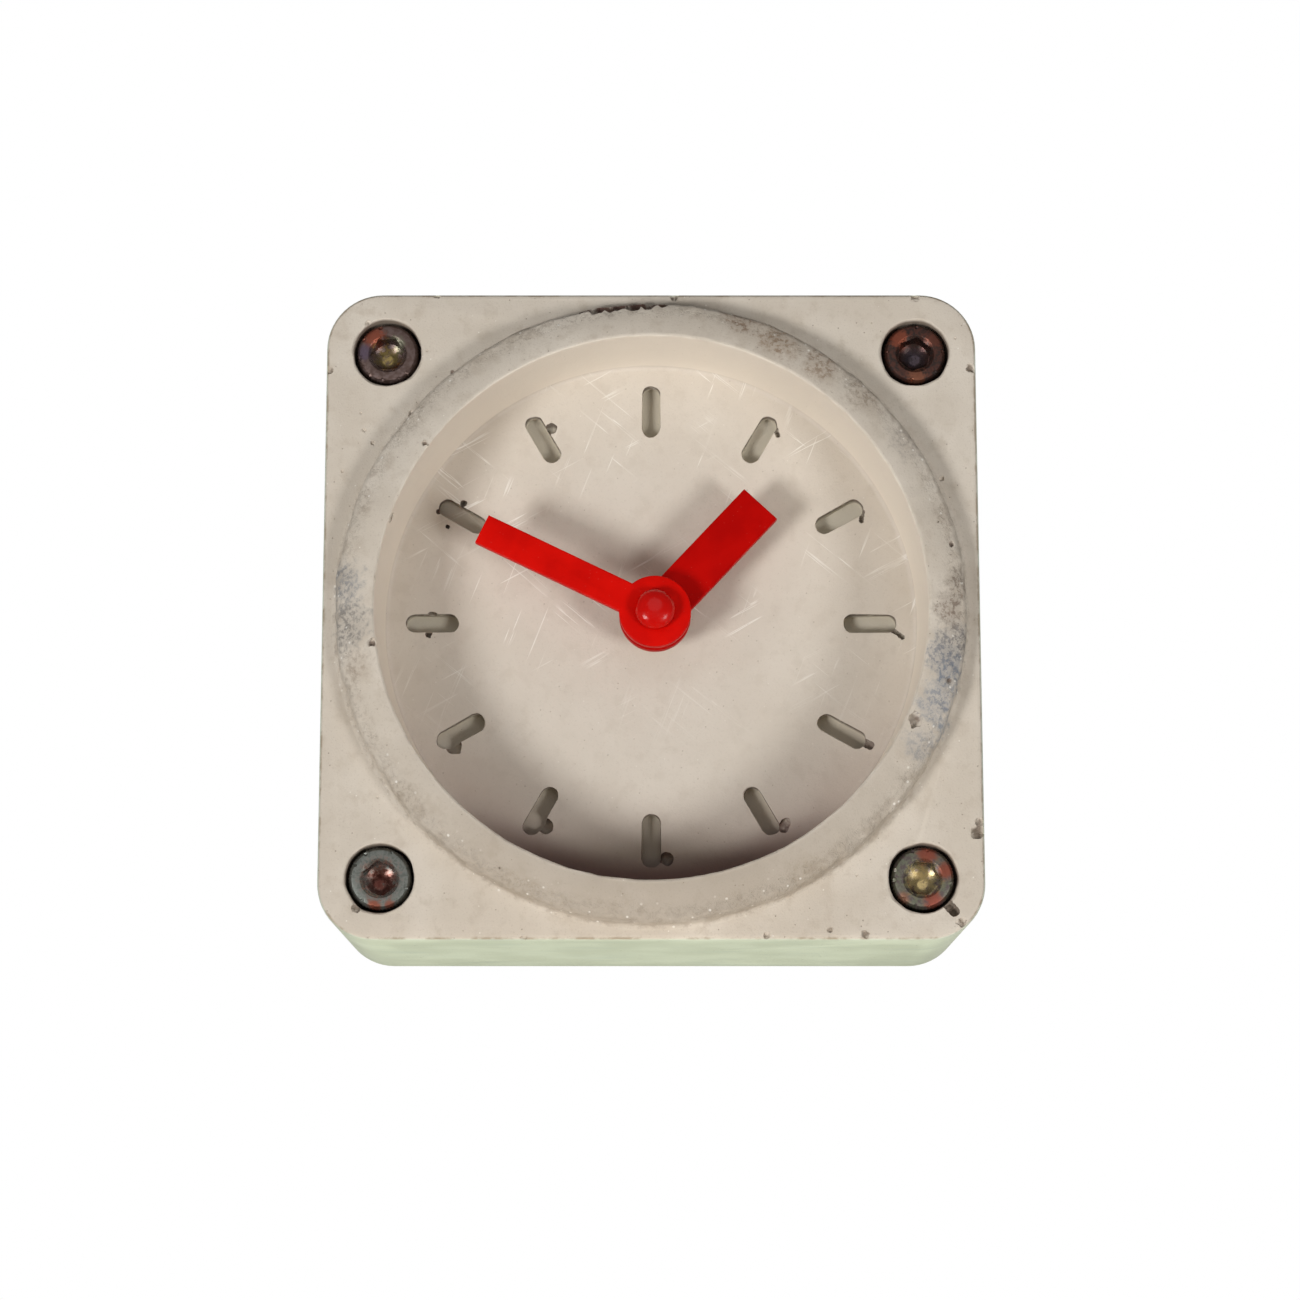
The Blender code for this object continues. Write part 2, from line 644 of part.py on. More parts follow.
def make_motion_work(plastic, knob_plastic):
    """The gears behind the hands, which turn the hour hand once for each twelve turns of the minute hand."""
    x, z = arbor_places()["change"]
    fast = module_for(CHANGE_DISTANCE, MINUTE_PINION, CHANGE_WHEEL)
    slow = module_for(CHANGE_DISTANCE, CHANGE_PINION, HOUR_WHEEL)
    hour_level, minute_level = level(0), level(1)
    back_to_centre = CHANGE_DIRECTION + 180
    centre_back = level(2)[1] + GAP
    arbor = shaft(ARBOR_WIDTH, MINUTE_FRONT, centre_back)
    pinion = gear(MINUTE_PINION, fast, CHANGE_DIRECTION, *minute_level)
    pivot = SMALL_ARBOR + 2 * RUNNING
    socket = shaft(pivot, centre_back - PIVOT_SOCKET, centre_back + BEYOND, TINY_ROUND)
    solid("minute_arbor", arbor, plastic, x=HAND_AXIS_X, add=[pinion], cut=[socket])
    wheel = gear(CHANGE_WHEEL, fast, facing_gap(CHANGE_WHEEL, back_to_centre), *minute_level)
    small = gear(CHANGE_PINION, slow, back_to_centre, hour_level[0], minute_level[0] + OVERLAP)
    knob_front = MOVEMENT_BACK + GAP
    knob_back = knob_front + KNOB_HEIGHT
    bore_end = knob_back - KNOB_BORE_END
    long_arbor = shaft(CHANGE_ARBOR, MOVEMENT_FRONT + GAP, bore_end - KNOB_PLAY, TINY_ROUND)
    solid("change_wheel", wheel, plastic, x=HAND_AXIS_X + x, z=z, add=[small, long_arbor])
    ridge_size = KNOB_WIDTH / (KNOB_RIDGES + 2 * TOOTH_RISE)
    grip = gear(KNOB_RIDGES, ridge_size, 0, knob_front, knob_back)
    bore = shaft(CHANGE_ARBOR + 2 * PRESSED_CLEARANCE, knob_front - BEYOND, bore_end, TINY_ROUND)
    solid("set_knob", grip, knob_plastic, x=HAND_AXIS_X + x, z=z, cut=[bore])
    disc = gear(HOUR_WHEEL, slow, facing_gap(HOUR_WHEEL, CHANGE_DIRECTION), *hour_level)
    pipe = shaft(PIPE_WIDTH, HOUR_FRONT - PIPE_PROUD, hour_level[0] + OVERLAP)
    bore = shaft(PIPE_BORE, HOUR_FRONT - BEYOND, hour_level[1] + BEYOND)
    solid("hour_wheel", disc, plastic, x=HAND_AXIS_X, add=[pipe], cut=[bore])


def make_going_train(plastic):
    """The gears from the motor's rotor to the centre wheel, which slips on the minute arbor when it is set."""
    places = arbor_places()
    ends = (MOVEMENT_FRONT + GAP, MOVEMENT_BACK - GAP)
    rotor_mesh = module_for(ROTOR_DISTANCE, ROTOR_PINION, INTERMEDIATE_WHEEL)
    seconds_mesh = module_for(INTERMEDIATE_DISTANCE, INTERMEDIATE_PINION, SECONDS_WHEEL)
    third_mesh = module_for(THIRD_DISTANCE, SECONDS_PINION, THIRD_WHEEL)
    centre_mesh = module_for(THIRD_DISTANCE, THIRD_PINION, CENTRE_WHEEL)

    def wheel_and_pinion(name, wheel, pinion, front, back):
        x, z = places[name]
        pin = shaft(SMALL_ARBOR, front, back, TINY_ROUND)
        solid(f"{name}_wheel", gear(*wheel), plastic, x=HAND_AXIS_X + x, z=z, add=[gear(*pinion), pin])

    up = INTERMEDIATE_DIRECTION
    out = THIRD_DIRECTION
    wheel_and_pinion(
        "intermediate",
        (INTERMEDIATE_WHEEL, rotor_mesh, facing_gap(INTERMEDIATE_WHEEL, ROTOR_DIRECTION), *level(5)),
        (INTERMEDIATE_PINION, seconds_mesh, up + 180, level(4)[0], level(5)[0] + OVERLAP),
        *ends,
    )
    wheel_and_pinion(
        "seconds",
        (SECONDS_WHEEL, seconds_mesh, facing_gap(SECONDS_WHEEL, up), *level(4)),
        (SECONDS_PINION, third_mesh, out, level(3)[0], level(4)[0] + OVERLAP),
        level(2)[1] + GAP - PIVOT_LENGTH,
        ends[1],
    )
    wheel_and_pinion(
        "third",
        (THIRD_WHEEL, third_mesh, facing_gap(THIRD_WHEEL, out + 180), *level(3)),
        (THIRD_PINION, centre_mesh, out + 180, level(2)[0], level(3)[0] + OVERLAP),
        *ends,
    )
    rim = gear(CENTRE_WHEEL, centre_mesh, facing_gap(CENTRE_WHEEL, out), *level(2))
    bore = shaft(ARBOR_WIDTH + 2 * RUNNING, level(2)[0] - BEYOND, level(2)[1] + BEYOND)
    solid("centre_wheel", rim, plastic, x=HAND_AXIS_X, cut=[bore])
    x, z = places["rotor"]
    pin = shaft(SMALL_ARBOR, *ends, TINY_ROUND)
    pinion = gear(ROTOR_PINION, rotor_mesh, ROTOR_DIRECTION + 180, *level(5))
    solid("rotor_pinion", pinion, plastic, x=HAND_AXIS_X + x, z=z, add=[pin])


def make_motor(ferrite, steel, copper):
    """A stepping motor: a ring magnet in a flat stator, whose two legs are joined through the coil."""
    x, z = arbor_places()["rotor"]
    middle = level(2)[0] + GEAR_THICKNESS / 2
    pressed = SMALL_ARBOR + 2 * PRESSED_CLEARANCE
    magnet_ends = (middle - MAGNET_LENGTH / 2, middle + MAGNET_LENGTH / 2)
    solid("rotor_magnet", tube(MAGNET_WIDTH, pressed, *magnet_ends), ferrite, x=HAND_AXIS_X + x, z=z)
    front, back = middle - STATOR_THICKNESS / 2, middle + STATOR_THICKNESS / 2
    left, right = -STATOR_LENGTH / 2, STATOR_LENGTH / 2
    low, high = -STATOR_WIDTH / 2, STATOR_WIDTH / 2
    top = high + COIL_WIDTH + 2 * GAP
    outline = [(left, low), (right, low), (right, top), (right - STATOR_LEG, top), (right - STATOR_LEG, high)]
    outline += [(left + STATOR_LEG, high), (left + STATOR_LEG, top), (left, top)]
    rotor_hole = shaft(MAGNET_WIDTH + 2 * MAGNET_CLEARANCE, front - BEYOND, back + BEYOND)
    solid("stator", prism(outline, front, back), steel, x=HAND_AXIS_X + x, z=z, cut=[rotor_hole])
    reach = right - STATOR_LEG - GAP
    coil_z = (high + top) / 2 + z
    winding = shaft(COIL_WIDTH, -reach, reach)
    solid("coil", laid_along("X", winding, middle), copper, x=HAND_AXIS_X + x, z=coil_z)


def make_circuit(board_finish, steel):
    edge = TRAIN_SIDE / 2 - GAP
    x, z = HAND_AXIS_X - edge + BOARD_WIDTH / 2, edge - BOARD_HEIGHT / 2
    back = HOUSING_BACK_WALL - GAP
    front = back - BOARD_THICKNESS
    half_width, half_height = BOARD_WIDTH / 2, BOARD_HEIGHT / 2
    board = rounded_box(-half_width, half_width, -half_height, half_height, MOVEMENT_CORNER, 3)
    solid("circuit_board", prism(board, front, back), board_finish, x=x, z=z)
    can = shaft(CRYSTAL_WIDTH, -CRYSTAL_LENGTH / 2, CRYSTAL_LENGTH / 2, TINY_ROUND)
    depth = front - GAP - CRYSTAL_WIDTH / 2
    solid("quartz_crystal", laid_along("Z", can, depth), steel, x=x, z=z)


# Hands


def make_hand(name, finish, degrees, length, width, front, back, hole):
    """A square-ended bar that grows out of a round hub, pointing so many degrees clockwise from 12."""
    half, hub = width / 2, HUB_WIDTH / 2
    shoulder = math.degrees(math.asin(half / hub))
    hub_edge = arc((0, 0), hub, 90 + shoulder, 450 - shoulder, SMALL_ROUND)
    turn = math.radians(degrees)
    outline = []
    for x, z in [*hub_edge, (half, length), (-half, length)]:
        outline.append((x * math.cos(turn) + z * math.sin(turn), z * math.cos(turn) - x * math.sin(turn)))
    bore = shaft(hole, front - BEYOND, back + BEYOND)
    solid(name, prism(outline, front, back), finish, x=HAND_AXIS_X, cut=[bore])


def make_hands(finish):
    clearance = 2 * PRESSED_CLEARANCE
    hour = (HOUR_LENGTH, HOUR_WIDTH, HOUR_FRONT, HOUR_BACK, PIPE_WIDTH + clearance)
    minute = (MINUTE_LENGTH, MINUTE_WIDTH, MINUTE_FRONT, MINUTE_BACK, ARBOR_WIDTH + clearance)
    make_hand("hour_hand", finish, HOUR_ANGLE, *hour)
    make_hand("minute_hand", finish, MINUTE_ANGLE, *minute)
    seat = MINUTE_FRONT - GAP
    radius, dome_height = CAP_WIDTH / 2, CAP_HEIGHT - CAP_WALL_HEIGHT
    dome = []
    for step in range(7):
        angle = math.radians(15 * step)
        dome.append((radius * math.cos(angle), seat - CAP_WALL_HEIGHT - dome_height * math.sin(angle)))
    dome[-1] = (0, seat - CAP_HEIGHT)
    solid("hand_cap", turned([(0, seat), (radius, seat), *dome], SMALL_ROUND), finish, x=HAND_AXIS_X)


def main():
    for obj in list(bpy.data.objects):
        bpy.data.objects.remove(obj)
    concrete = material("concrete", (0.60, 0.54, 0.46), 0.85)
    red = material("red_plastic", (0.55, 0.008, 0.005), 0.35)
    old_steel = material("rusted_steel", (0.10, 0.07, 0.06), 0.5, 1)
    zinc = material("zinc_plated_steel", (0.62, 0.62, 0.60), 0.35, 1)
    black_plastic = material("black_plastic", (0.02, 0.02, 0.02), 0.5)
    white_plastic = material("white_plastic", (0.75, 0.74, 0.70), 0.4)
    brass = material("brass", (0.75, 0.55, 0.25), 0.3, 1)
    make_case(concrete)
    make_screws(old_steel)
    make_washers_and_nuts(zinc)
    make_back_plate(material("grey_painted_steel", (0.25, 0.26, 0.26), 0.5))
    make_seals(material("foam", (0.06, 0.06, 0.06), 0.95), material("rubber", (0.02, 0.02, 0.02), 0.8))
    make_housing(black_plastic, material("grey_plastic", (0.35, 0.35, 0.35), 0.45))
    make_bush(brass)
    make_battery(material("battery_sleeve", (0.05, 0.09, 0.20), 0.35), zinc)
    make_motion_work(white_plastic, material("knob_plastic", (0.6, 0.6, 0.58), 0.5))
    make_going_train(white_plastic)
    make_motor(material("ferrite", (0.05, 0.05, 0.05), 0.6), zinc, material("copper", (0.72, 0.35, 0.2), 0.4, 1))
    make_circuit(material("circuit_board", (0.02, 0.15, 0.06), 0.5), zinc)
    make_hands(red)


main()
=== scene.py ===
# %% [markdown]
# # A cast-concrete clock
# This lesson finishes a small table clock: a square block of cast concrete with a raised ring, a sunk dial,
# twelve slots for the hours, two red plastic hands and four socket screws that run right through to the back.
# The sizes, the joints and the hidden movement come ready made as a frame of named nodes. Blender's job here
# is the surface: the casting with its air bubbles and chips, worn screws, and a finish for every piece.

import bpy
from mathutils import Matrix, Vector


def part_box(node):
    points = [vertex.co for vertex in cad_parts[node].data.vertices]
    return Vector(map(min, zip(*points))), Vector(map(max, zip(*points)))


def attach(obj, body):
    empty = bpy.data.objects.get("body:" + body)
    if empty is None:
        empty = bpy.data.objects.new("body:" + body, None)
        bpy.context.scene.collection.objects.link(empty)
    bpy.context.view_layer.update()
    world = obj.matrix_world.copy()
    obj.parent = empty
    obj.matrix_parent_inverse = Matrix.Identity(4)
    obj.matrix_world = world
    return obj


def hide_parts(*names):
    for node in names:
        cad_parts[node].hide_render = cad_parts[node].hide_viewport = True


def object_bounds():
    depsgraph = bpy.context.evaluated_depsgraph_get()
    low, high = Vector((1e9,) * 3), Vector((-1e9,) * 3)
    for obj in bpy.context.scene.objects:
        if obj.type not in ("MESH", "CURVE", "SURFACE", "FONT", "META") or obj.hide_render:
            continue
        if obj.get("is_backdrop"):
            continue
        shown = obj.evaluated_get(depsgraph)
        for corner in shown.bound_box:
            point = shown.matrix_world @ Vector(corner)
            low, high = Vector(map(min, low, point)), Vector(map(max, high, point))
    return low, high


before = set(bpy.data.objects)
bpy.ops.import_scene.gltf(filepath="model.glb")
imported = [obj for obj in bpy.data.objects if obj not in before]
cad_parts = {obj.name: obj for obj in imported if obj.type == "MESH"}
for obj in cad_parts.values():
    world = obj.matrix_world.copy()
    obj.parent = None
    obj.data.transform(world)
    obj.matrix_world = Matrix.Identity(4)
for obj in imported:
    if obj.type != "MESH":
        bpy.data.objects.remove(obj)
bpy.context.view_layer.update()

# %% [markdown]
# ## Where things are
# Depths are measured back from the flat front of the block, so the ring, which stands proud, has negative
# depths. Shapes are drawn around the middle of that face and moved to the clock at the end, which keeps the
# numbers as a maker would measure them with a caliper. Everything that the frame knows is read from it.

# %% Sizes
import math
import random

import bmesh
import bpy
from mathutils import Euler, Matrix, Vector, noise

MM = 0.001
case_low, case_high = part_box("case")
cap_low, cap_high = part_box("hand_cap")
CASE_SIDE = case_high.x - case_low.x
RING_CREST = 6.3 * MM
FACE_Y = case_low.y + RING_CREST
CASE_DEPTH = case_high.y - FACE_Y
CENTRE_Z = (case_low.z + case_high.z) / 2
HAND_X = (cap_low.x + cap_high.x) / 2
CORNERS = ("top_left", "top_right", "bottom_left", "bottom_right")


def middle(node):
    low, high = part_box(node)
    return (low + high) / 2


def depths(node):
    low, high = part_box(node)
    return low.y - FACE_Y, high.y - FACE_Y


print(f"face {CASE_SIDE / MM:.1f} mm square, {CASE_DEPTH / MM:.1f} mm deep, hands' axis at x {HAND_X / MM:.1f} mm")

# %% [markdown]
# ## Shaping helpers
# Almost every piece here is either turned or sawn to an outline. A turned piece starts as a few vertices that
# are spun round the depth axis. An outlined piece starts as a circle or a square that is extruded. Pieces are
# joined and cut with Boolean modifiers, which are then applied, so that each piece ends as one plain mesh.

# %% Helpers for shapes


def turned(profile, steps, ring=False):
    """Spins a few (radius, depth) points round the depth axis. A ring's profile is closed."""
    bm = bmesh.new()
    points = [bm.verts.new((radius, depth, 0)) for radius, depth in profile]
    ends = points[1:] + points[:1] if ring else points[1:]
    edges = [bm.edges.new(pair) for pair in zip(points, ends)]
    bmesh.ops.spin(
        bm, geom=points + edges, cent=(0, 0, 0), axis=(0, 1, 0), angle=math.tau, steps=steps, use_merge=True
    )
    bmesh.ops.remove_doubles(bm, verts=bm.verts, dist=0.0005 * MM)
    bmesh.ops.recalc_face_normals(bm, faces=bm.faces)
    return bm


def disc(width, front, back, sides=64, turn=0.0):
    """A round or many-sided plate between two depths."""
    bm = bmesh.new()
    upright = Matrix.Rotation(math.pi / 2, 4, "X") @ Matrix.Rotation(turn, 4, "Z")
    bmesh.ops.create_circle(bm, cap_ends=True, segments=sides, radius=width / 2, matrix=upright)
    return thickened(bm, front, back)


def thickened(bm, front, back):
    """Extrudes a flat face at depth 0 so that it fills the space between two depths."""
    bmesh.ops.translate(bm, verts=bm.verts, vec=(0, front, 0))
    made = bmesh.ops.extrude_face_region(bm, geom=list(bm.faces))["geom"]
    moved = [item for item in made if isinstance(item, bmesh.types.BMVert)]
    bmesh.ops.translate(bm, verts=moved, vec=(0, back - front, 0))
    bmesh.ops.recalc_face_normals(bm, faces=bm.faces)
    return bm


def slab(size_x, size_z, front, back, corner=0.0, segments=8):
    """A block between two depths, with its four long edges rounded."""
    bm = bmesh.new()
    bmesh.ops.create_cube(bm, size=1.0)
    bmesh.ops.scale(bm, vec=(size_x, back - front, size_z), verts=bm.verts)
    bmesh.ops.translate(bm, vec=(0, (front + back) / 2, 0), verts=bm.verts)
    if corner:
        upright = [e for e in bm.edges if abs(e.verts[0].co.y - e.verts[1].co.y) > MM * 0.01]
        round_edges(bm, upright, corner, segments)
    return bm


def round_edges(bm, edges, radius, segments):
    bmesh.ops.bevel(
        bm,
        geom=edges,
        offset=radius,
        offset_type="OFFSET",
        segments=segments,
        profile=0.5,
        affect="EDGES",
        material=-1,
    )
    return bm


def rims(bm, depth):
    """The sharp edges that lie at one depth."""
    near = 0.001 * MM
    flat = [e for e in bm.edges if all(abs(v.co.y - depth) < near for v in e.verts)]
    return [e for e in flat if e.calc_face_angle(0) > math.radians(40)]


def shifted(bm, x=0.0, z=0.0, y=0.0):
    bmesh.ops.translate(bm, verts=bm.verts, vec=(x, y, z))
    return bm


def clock_point(degrees, radius, depth=0.0):
    """A point at a clock angle and a distance from the middle of the face."""
    angle = math.radians(degrees)
    return Vector((radius * math.sin(angle), depth, radius * math.cos(angle)))


def to_mesh(bm, name="shape"):
    mesh = bpy.data.meshes.new(name)
    bm.to_mesh(mesh)
    bm.free()
    return mesh


def combined(shape, others, operation):
    """The shape with others joined to it, cut from it or kept in common, one after another."""
    piece = bpy.data.objects.new("work", to_mesh(shape))
    bpy.context.scene.collection.objects.link(piece)
    for other in others:
        tool = bpy.data.objects.new("tool", to_mesh(other))
        bpy.context.scene.collection.objects.link(tool)
        modifier = piece.modifiers.new(operation, "BOOLEAN")
        modifier.operation = operation
        modifier.solver = "MANIFOLD"
        modifier.object = tool
        bpy.context.view_layer.update()
        evaluated = piece.evaluated_get(bpy.context.evaluated_depsgraph_get())
        result = bpy.data.meshes.new_from_object(evaluated)
        if len(result.vertices) == len(piece.data.vertices):
            raise RuntimeError(f"a Boolean {operation} changed nothing: is the other shape closed?")
        piece.modifiers.clear()
        piece.data = result
        bpy.data.objects.remove(tool)
    bm = bmesh.new()
    bm.from_mesh(piece.data)
    bpy.data.objects.remove(piece)
    return bm


def together(shapes):
    """Shapes that stand apart, as one."""
    whole = bmesh.new()
    for shape in shapes:
        mesh = to_mesh(shape)
        whole.from_mesh(mesh)
        bpy.data.meshes.remove(mesh)
    return whole


# %% [markdown]
# ## Helpers for finishes
# Each finish is a small node tree. One function adds a node, gives it its settings and links its sockets.
# All patterns read Object coordinates turned into millimetres from the middle of the face, so that a grain
# of half a millimetre is written as 0.5. Colours are written as they look, in sRGB, and turned to linear.

# %% Helpers for materials


def colour(hex_value, alpha=1.0):
    """An sRGB hex colour as the linear colour that shaders take."""
    parts = [int(hex_value[i : i + 2], 16) / 255 for i in (1, 3, 5)]
    return (*(c / 12.92 if c <= 0.04045 else ((c + 0.055) / 1.055) ** 2.4 for c in parts), alpha)


def add(tree, kind, links=None, stops=None, **settings):
    """Adds a node. links gives each input a value or another node's socket; stops fills a colour ramp."""
    node = tree.nodes.new(kind)
    for name, value in settings.items():
        setattr(node, name, value)
    for name, value in (links or {}).items():
        if isinstance(value, bpy.types.NodeSocket):
            tree.links.new(value, node.inputs[name])
        else:
            node.inputs[name].default_value = value
    for index, (position, shade) in enumerate(stops or ()):
        elements = node.color_ramp.elements
        element = elements[index] if index < len(elements) else elements.new(position)
        element.position = position
        element.color = colour(shade)
    return node


def start_material(name, roughness, metallic=0.0, **shader_values):
    """A new material, its shader, and its coordinates in millimetres from the middle of the face."""
    made = bpy.data.materials.new(name)
    made.use_nodes = True
    tree = made.node_tree
    shader = tree.nodes["Principled BSDF"]
    shader.inputs["Roughness"].default_value = roughness
    shader.inputs["Metallic"].default_value = metallic
    for key, value in shader_values.items():
        shader.inputs[key.replace("_", " ")].default_value = value
    position = add(tree, "ShaderNodeTexCoord").outputs["Object"]
    centred = add(
        tree, "ShaderNodeVectorMath", {0: position, 1: (0, FACE_Y, CENTRE_Z)}, operation="SUBTRACT"
    ).outputs[0]
    scaled = add(tree, "ShaderNodeVectorMath", {0: centred, "Scale": 1 / MM}, operation="SCALE").outputs[0]
    return made, tree, shader, scaled


def grain(tree, place, size, detail=3.0, rough=0.5):
    """Noise whose lumps are about this many millimetres across."""
    links = {"Vector": place, "Scale": 1 / size, "Detail": detail, "Roughness": rough}
    return add(tree, "ShaderNodeTexNoise", links).outputs["Fac"]


def fade(tree, value, low, high, smooth=True):
    """0 where the value is at low, 1 where it is at high."""
    links = {"Value": value, "From Min": low, "From Max": high}
    kind = "SMOOTHSTEP" if smooth else "LINEAR"
    return add(tree, "ShaderNodeMapRange", links, interpolation_type=kind).outputs["Result"]


def sum_of(tree, operation, first, second):
    return add(tree, "ShaderNodeMath", {0: first, 1: second}, operation=operation).outputs[0]


def blended(tree, share, first, second):
    """A colour between two, each given as a hex value or a socket."""
    links = {"Factor": share}
    for slot, value in (("A", first), ("B", second)):
        links[slot] = colour(value) if isinstance(value, str) else value
    node = add(tree, "ShaderNodeMix", data_type="RGBA")
    sockets = {"Factor": node.inputs[0], "A": node.inputs[6], "B": node.inputs[7]}
    for name, value in links.items():
        if isinstance(value, bpy.types.NodeSocket):
            tree.links.new(value, sockets[name])
        else:
            sockets[name].default_value = value
    return node.outputs[2]


def bumped(tree, shader, height, strength=1.0):
    """Lets a height in millimetres turn the light on the surface."""
    links = {"Height": height, "Strength": strength, "Distance": MM}
    tree.links.new(add(tree, "ShaderNodeBump", links).outputs["Normal"], shader.inputs["Normal"])


# %% [markdown]
# ## Camera, floor and light
# The clock is looked at from a little below, with a long lens, so its underside shows and its front stays
# almost square. The floor is pale and can be seen from above only, so that a view from below looks through
# it. Two soft boxes stand low at the left and the right. Being below the dial, they leave its lower part in
# the ring's shadow and throw the hands' shadows upwards. The white surroundings add only a little light.

# %% Camera, floor and light
scene = bpy.context.scene
scene.view_settings.view_transform = "Standard"
lens = bpy.data.cameras.new("camera")
lens.lens = 91.38
lens.sensor_width = 36
lens.clip_start = 0.01
camera = bpy.data.objects.new("camera", lens)
camera.location = (-0.0002, -0.5349, -0.0516)
camera.rotation_euler = (math.radians(100.74), 0, 0)
scene.collection.objects.link(camera)
scene.camera = camera

surroundings = bpy.data.worlds.new("white surroundings")
surroundings.use_nodes = True
world_tree = surroundings.node_tree
ray = add(world_tree, "ShaderNodeLightPath").outputs["Is Camera Ray"]
brightness = add(world_tree, "ShaderNodeMapRange", {"Value": ray, "To Min": 0.12, "To Max": 1.0})
world_tree.nodes["Background"].inputs["Color"].default_value = (1, 1, 1, 1)
world_tree.links.new(brightness.outputs["Result"], world_tree.nodes["Background"].inputs["Strength"])
scene.world = surroundings

floor_shape = bmesh.new()
bmesh.ops.create_grid(floor_shape, x_segments=1, y_segments=1, size=1.5)
bmesh.ops.translate(floor_shape, verts=floor_shape.verts, vec=(0, 0, case_low.z - 0.2 * MM))
floor = bpy.data.objects.new("floor", to_mesh(floor_shape))
floor.visible_shadow = False
scene.collection.objects.link(floor)
paper = bpy.data.materials.new("pale floor")
paper.use_nodes = True
paper_tree = paper.node_tree
paper_tree.nodes["Principled BSDF"].inputs["Base Color"].default_value = colour("#e6e3de")
paper_tree.nodes["Principled BSDF"].inputs["Roughness"].default_value = 0.9
below = add(paper_tree, "ShaderNodeNewGeometry").outputs["Backfacing"]
clear = add(paper_tree, "ShaderNodeBsdfTransparent").outputs["BSDF"]
surface = paper_tree.nodes["Principled BSDF"].outputs["BSDF"]
either = add(paper_tree, "ShaderNodeMixShader", {0: below, 1: surface, 2: clear})
paper_tree.links.new(either.outputs[0], paper_tree.nodes["Material Output"].inputs["Surface"])
floor.data.materials.append(paper)
floor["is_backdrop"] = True


def soft_box(name, place, aim, size, power):
    light = bpy.data.lights.new(name, "AREA")
    light.shape = "DISK"
    light.size = size
    light.energy = power
    lamp = bpy.data.objects.new(name, light)
    lamp.location = place
    lamp.rotation_euler = (Vector(aim) - Vector(place)).to_track_quat("-Z", "Y").to_euler()
    scene.collection.objects.link(lamp)


FACE_MIDDLE = (0, FACE_Y, CENTRE_Z)
soft_box("low left box", (-0.90, -1.08, -0.52), FACE_MIDDLE, 0.42, 13.2)
soft_box("low right box", (0.90, -1.08, -0.52), FACE_MIDDLE, 0.42, 8.8)
soft_box("back fill", (0.60, 1.30, 0.90), (0, 0, 0.05), 0.80, 14.0)
soft_box("front fill", (0.0, -1.10, 0.45), FACE_MIDDLE, 0.90, 1.0)
soft_box("table glow", (0.0, 0.20, -0.60), (0, 0, 0), 0.50, 1.0)
print(f"camera {abs(camera.location.y - FACE_Y) / MM:.0f} mm in front of the face, three lamps")

# %% [markdown]
# ## The casting
# On the real clock the block, the ring and the dial are one piece, poured face down into a mould. The ring
# and the dial together are a turned shape. It is spun here with rounded edges, made a little lumpy, as a
# casting is where the mould was worn, and joined to the square block in place of a plug cut out of it.

# %% The block with its ring
random.seed(4)
RING_OUTER = 50.0 * MM
RING_INNER = 43.7 * MM
DIAL_RADIUS = 43.1 * MM
DIAL_DEPTH = 10.0 * MM
SHOULDER = 3.65 * MM


def bend(centre, radius, start, end, steps):
    """Points along a rounded edge, as (radius, depth) pairs. Angles go from outwards to deeper."""
    points = []
    for step in range(steps + 1):
        angle = math.radians(start + (end - start) * step / steps)
        points.append((centre[0] + radius * math.cos(angle), centre[1] + radius * math.sin(angle)))
    return points


def lumpy(bm, amount, size, seed, keep=None):
    """Moves each point by smooth noise. keep(point) gives the share of the movement that a point takes."""
    offset = Vector((seed * 7.3, seed * 1.7, seed * 4.1))
    for vert in bm.verts:
        move = noise.noise_vector(vert.co / size + offset) * amount
        move += noise.noise_vector(vert.co / size * 2.7 + offset) * amount * 0.4
        vert.co += move * (keep(vert.co) if keep else 1.0)
    return bm


def ring_share(point):
    """The ring's outer shoulder came out of the mould rougher than its crest, and the dial flat."""
    radius = math.hypot(point.x, point.z)
    if radius < 43.4 * MM or point.y > -0.05 * MM:
        return 0.0
    rise = min(1.0, (-0.05 * MM - point.y) / (1.2 * MM))
    return rise * (0.35 + 0.65 * min(1.0, max(0.0, (radius - 46 * MM) / (3.5 * MM))))


def rough_share(point):
    """Small lumps come in groups round the ring, with smooth lengths between them."""
    group = noise.noise(Vector((point.x, 0, point.z)) / (11 * MM) + Vector((3, 1, 4)))
    return ring_share(point) * min(1.0, max(0.25, 0.55 + 1.6 * group))


ring_profile = [(0, DIAL_DEPTH)]
ring_profile += [(r * MM, DIAL_DEPTH) for r in (8, 20, 32, 42)]
ring_profile += bend((DIAL_RADIUS - 0.7 * MM, DIAL_DEPTH - 0.7 * MM), 0.7 * MM, 90, 0, 4)
ring_profile += [(43.3 * MM, 6 * MM), (43.45 * MM, 2 * MM), (43.55 * MM, -1.5 * MM), (43.65 * MM, -4 * MM)]
ring_profile += bend((RING_INNER + 0.4 * MM, -RING_CREST + 0.4 * MM), 0.4 * MM, 180, 290, 5)
ring_profile += [(46.4 * MM, -5.45 * MM), (47.6 * MM, -4.95 * MM)]
ring_profile += bend((RING_OUTER - 1.5 * MM, -SHOULDER + 0.9 * MM), 1.5 * MM, 293, 358, 6)
ring_profile += [(50.15 * MM, -2.0 * MM)]
ring_profile += bend((RING_OUTER + 1.35 * MM, -1.15 * MM), 1.2 * MM, 180, 96, 6)
ring_profile += [(RING_OUTER + 1.5 * MM, 0.6 * MM), (RING_OUTER - 0.4 * MM, 2 * MM), (46.6 * MM, 14 * MM), (0, 14 * MM)]
turned_part = turned(ring_profile, 400)
lumpy(turned_part, 0.26 * MM, 9 * MM, 3, ring_share)
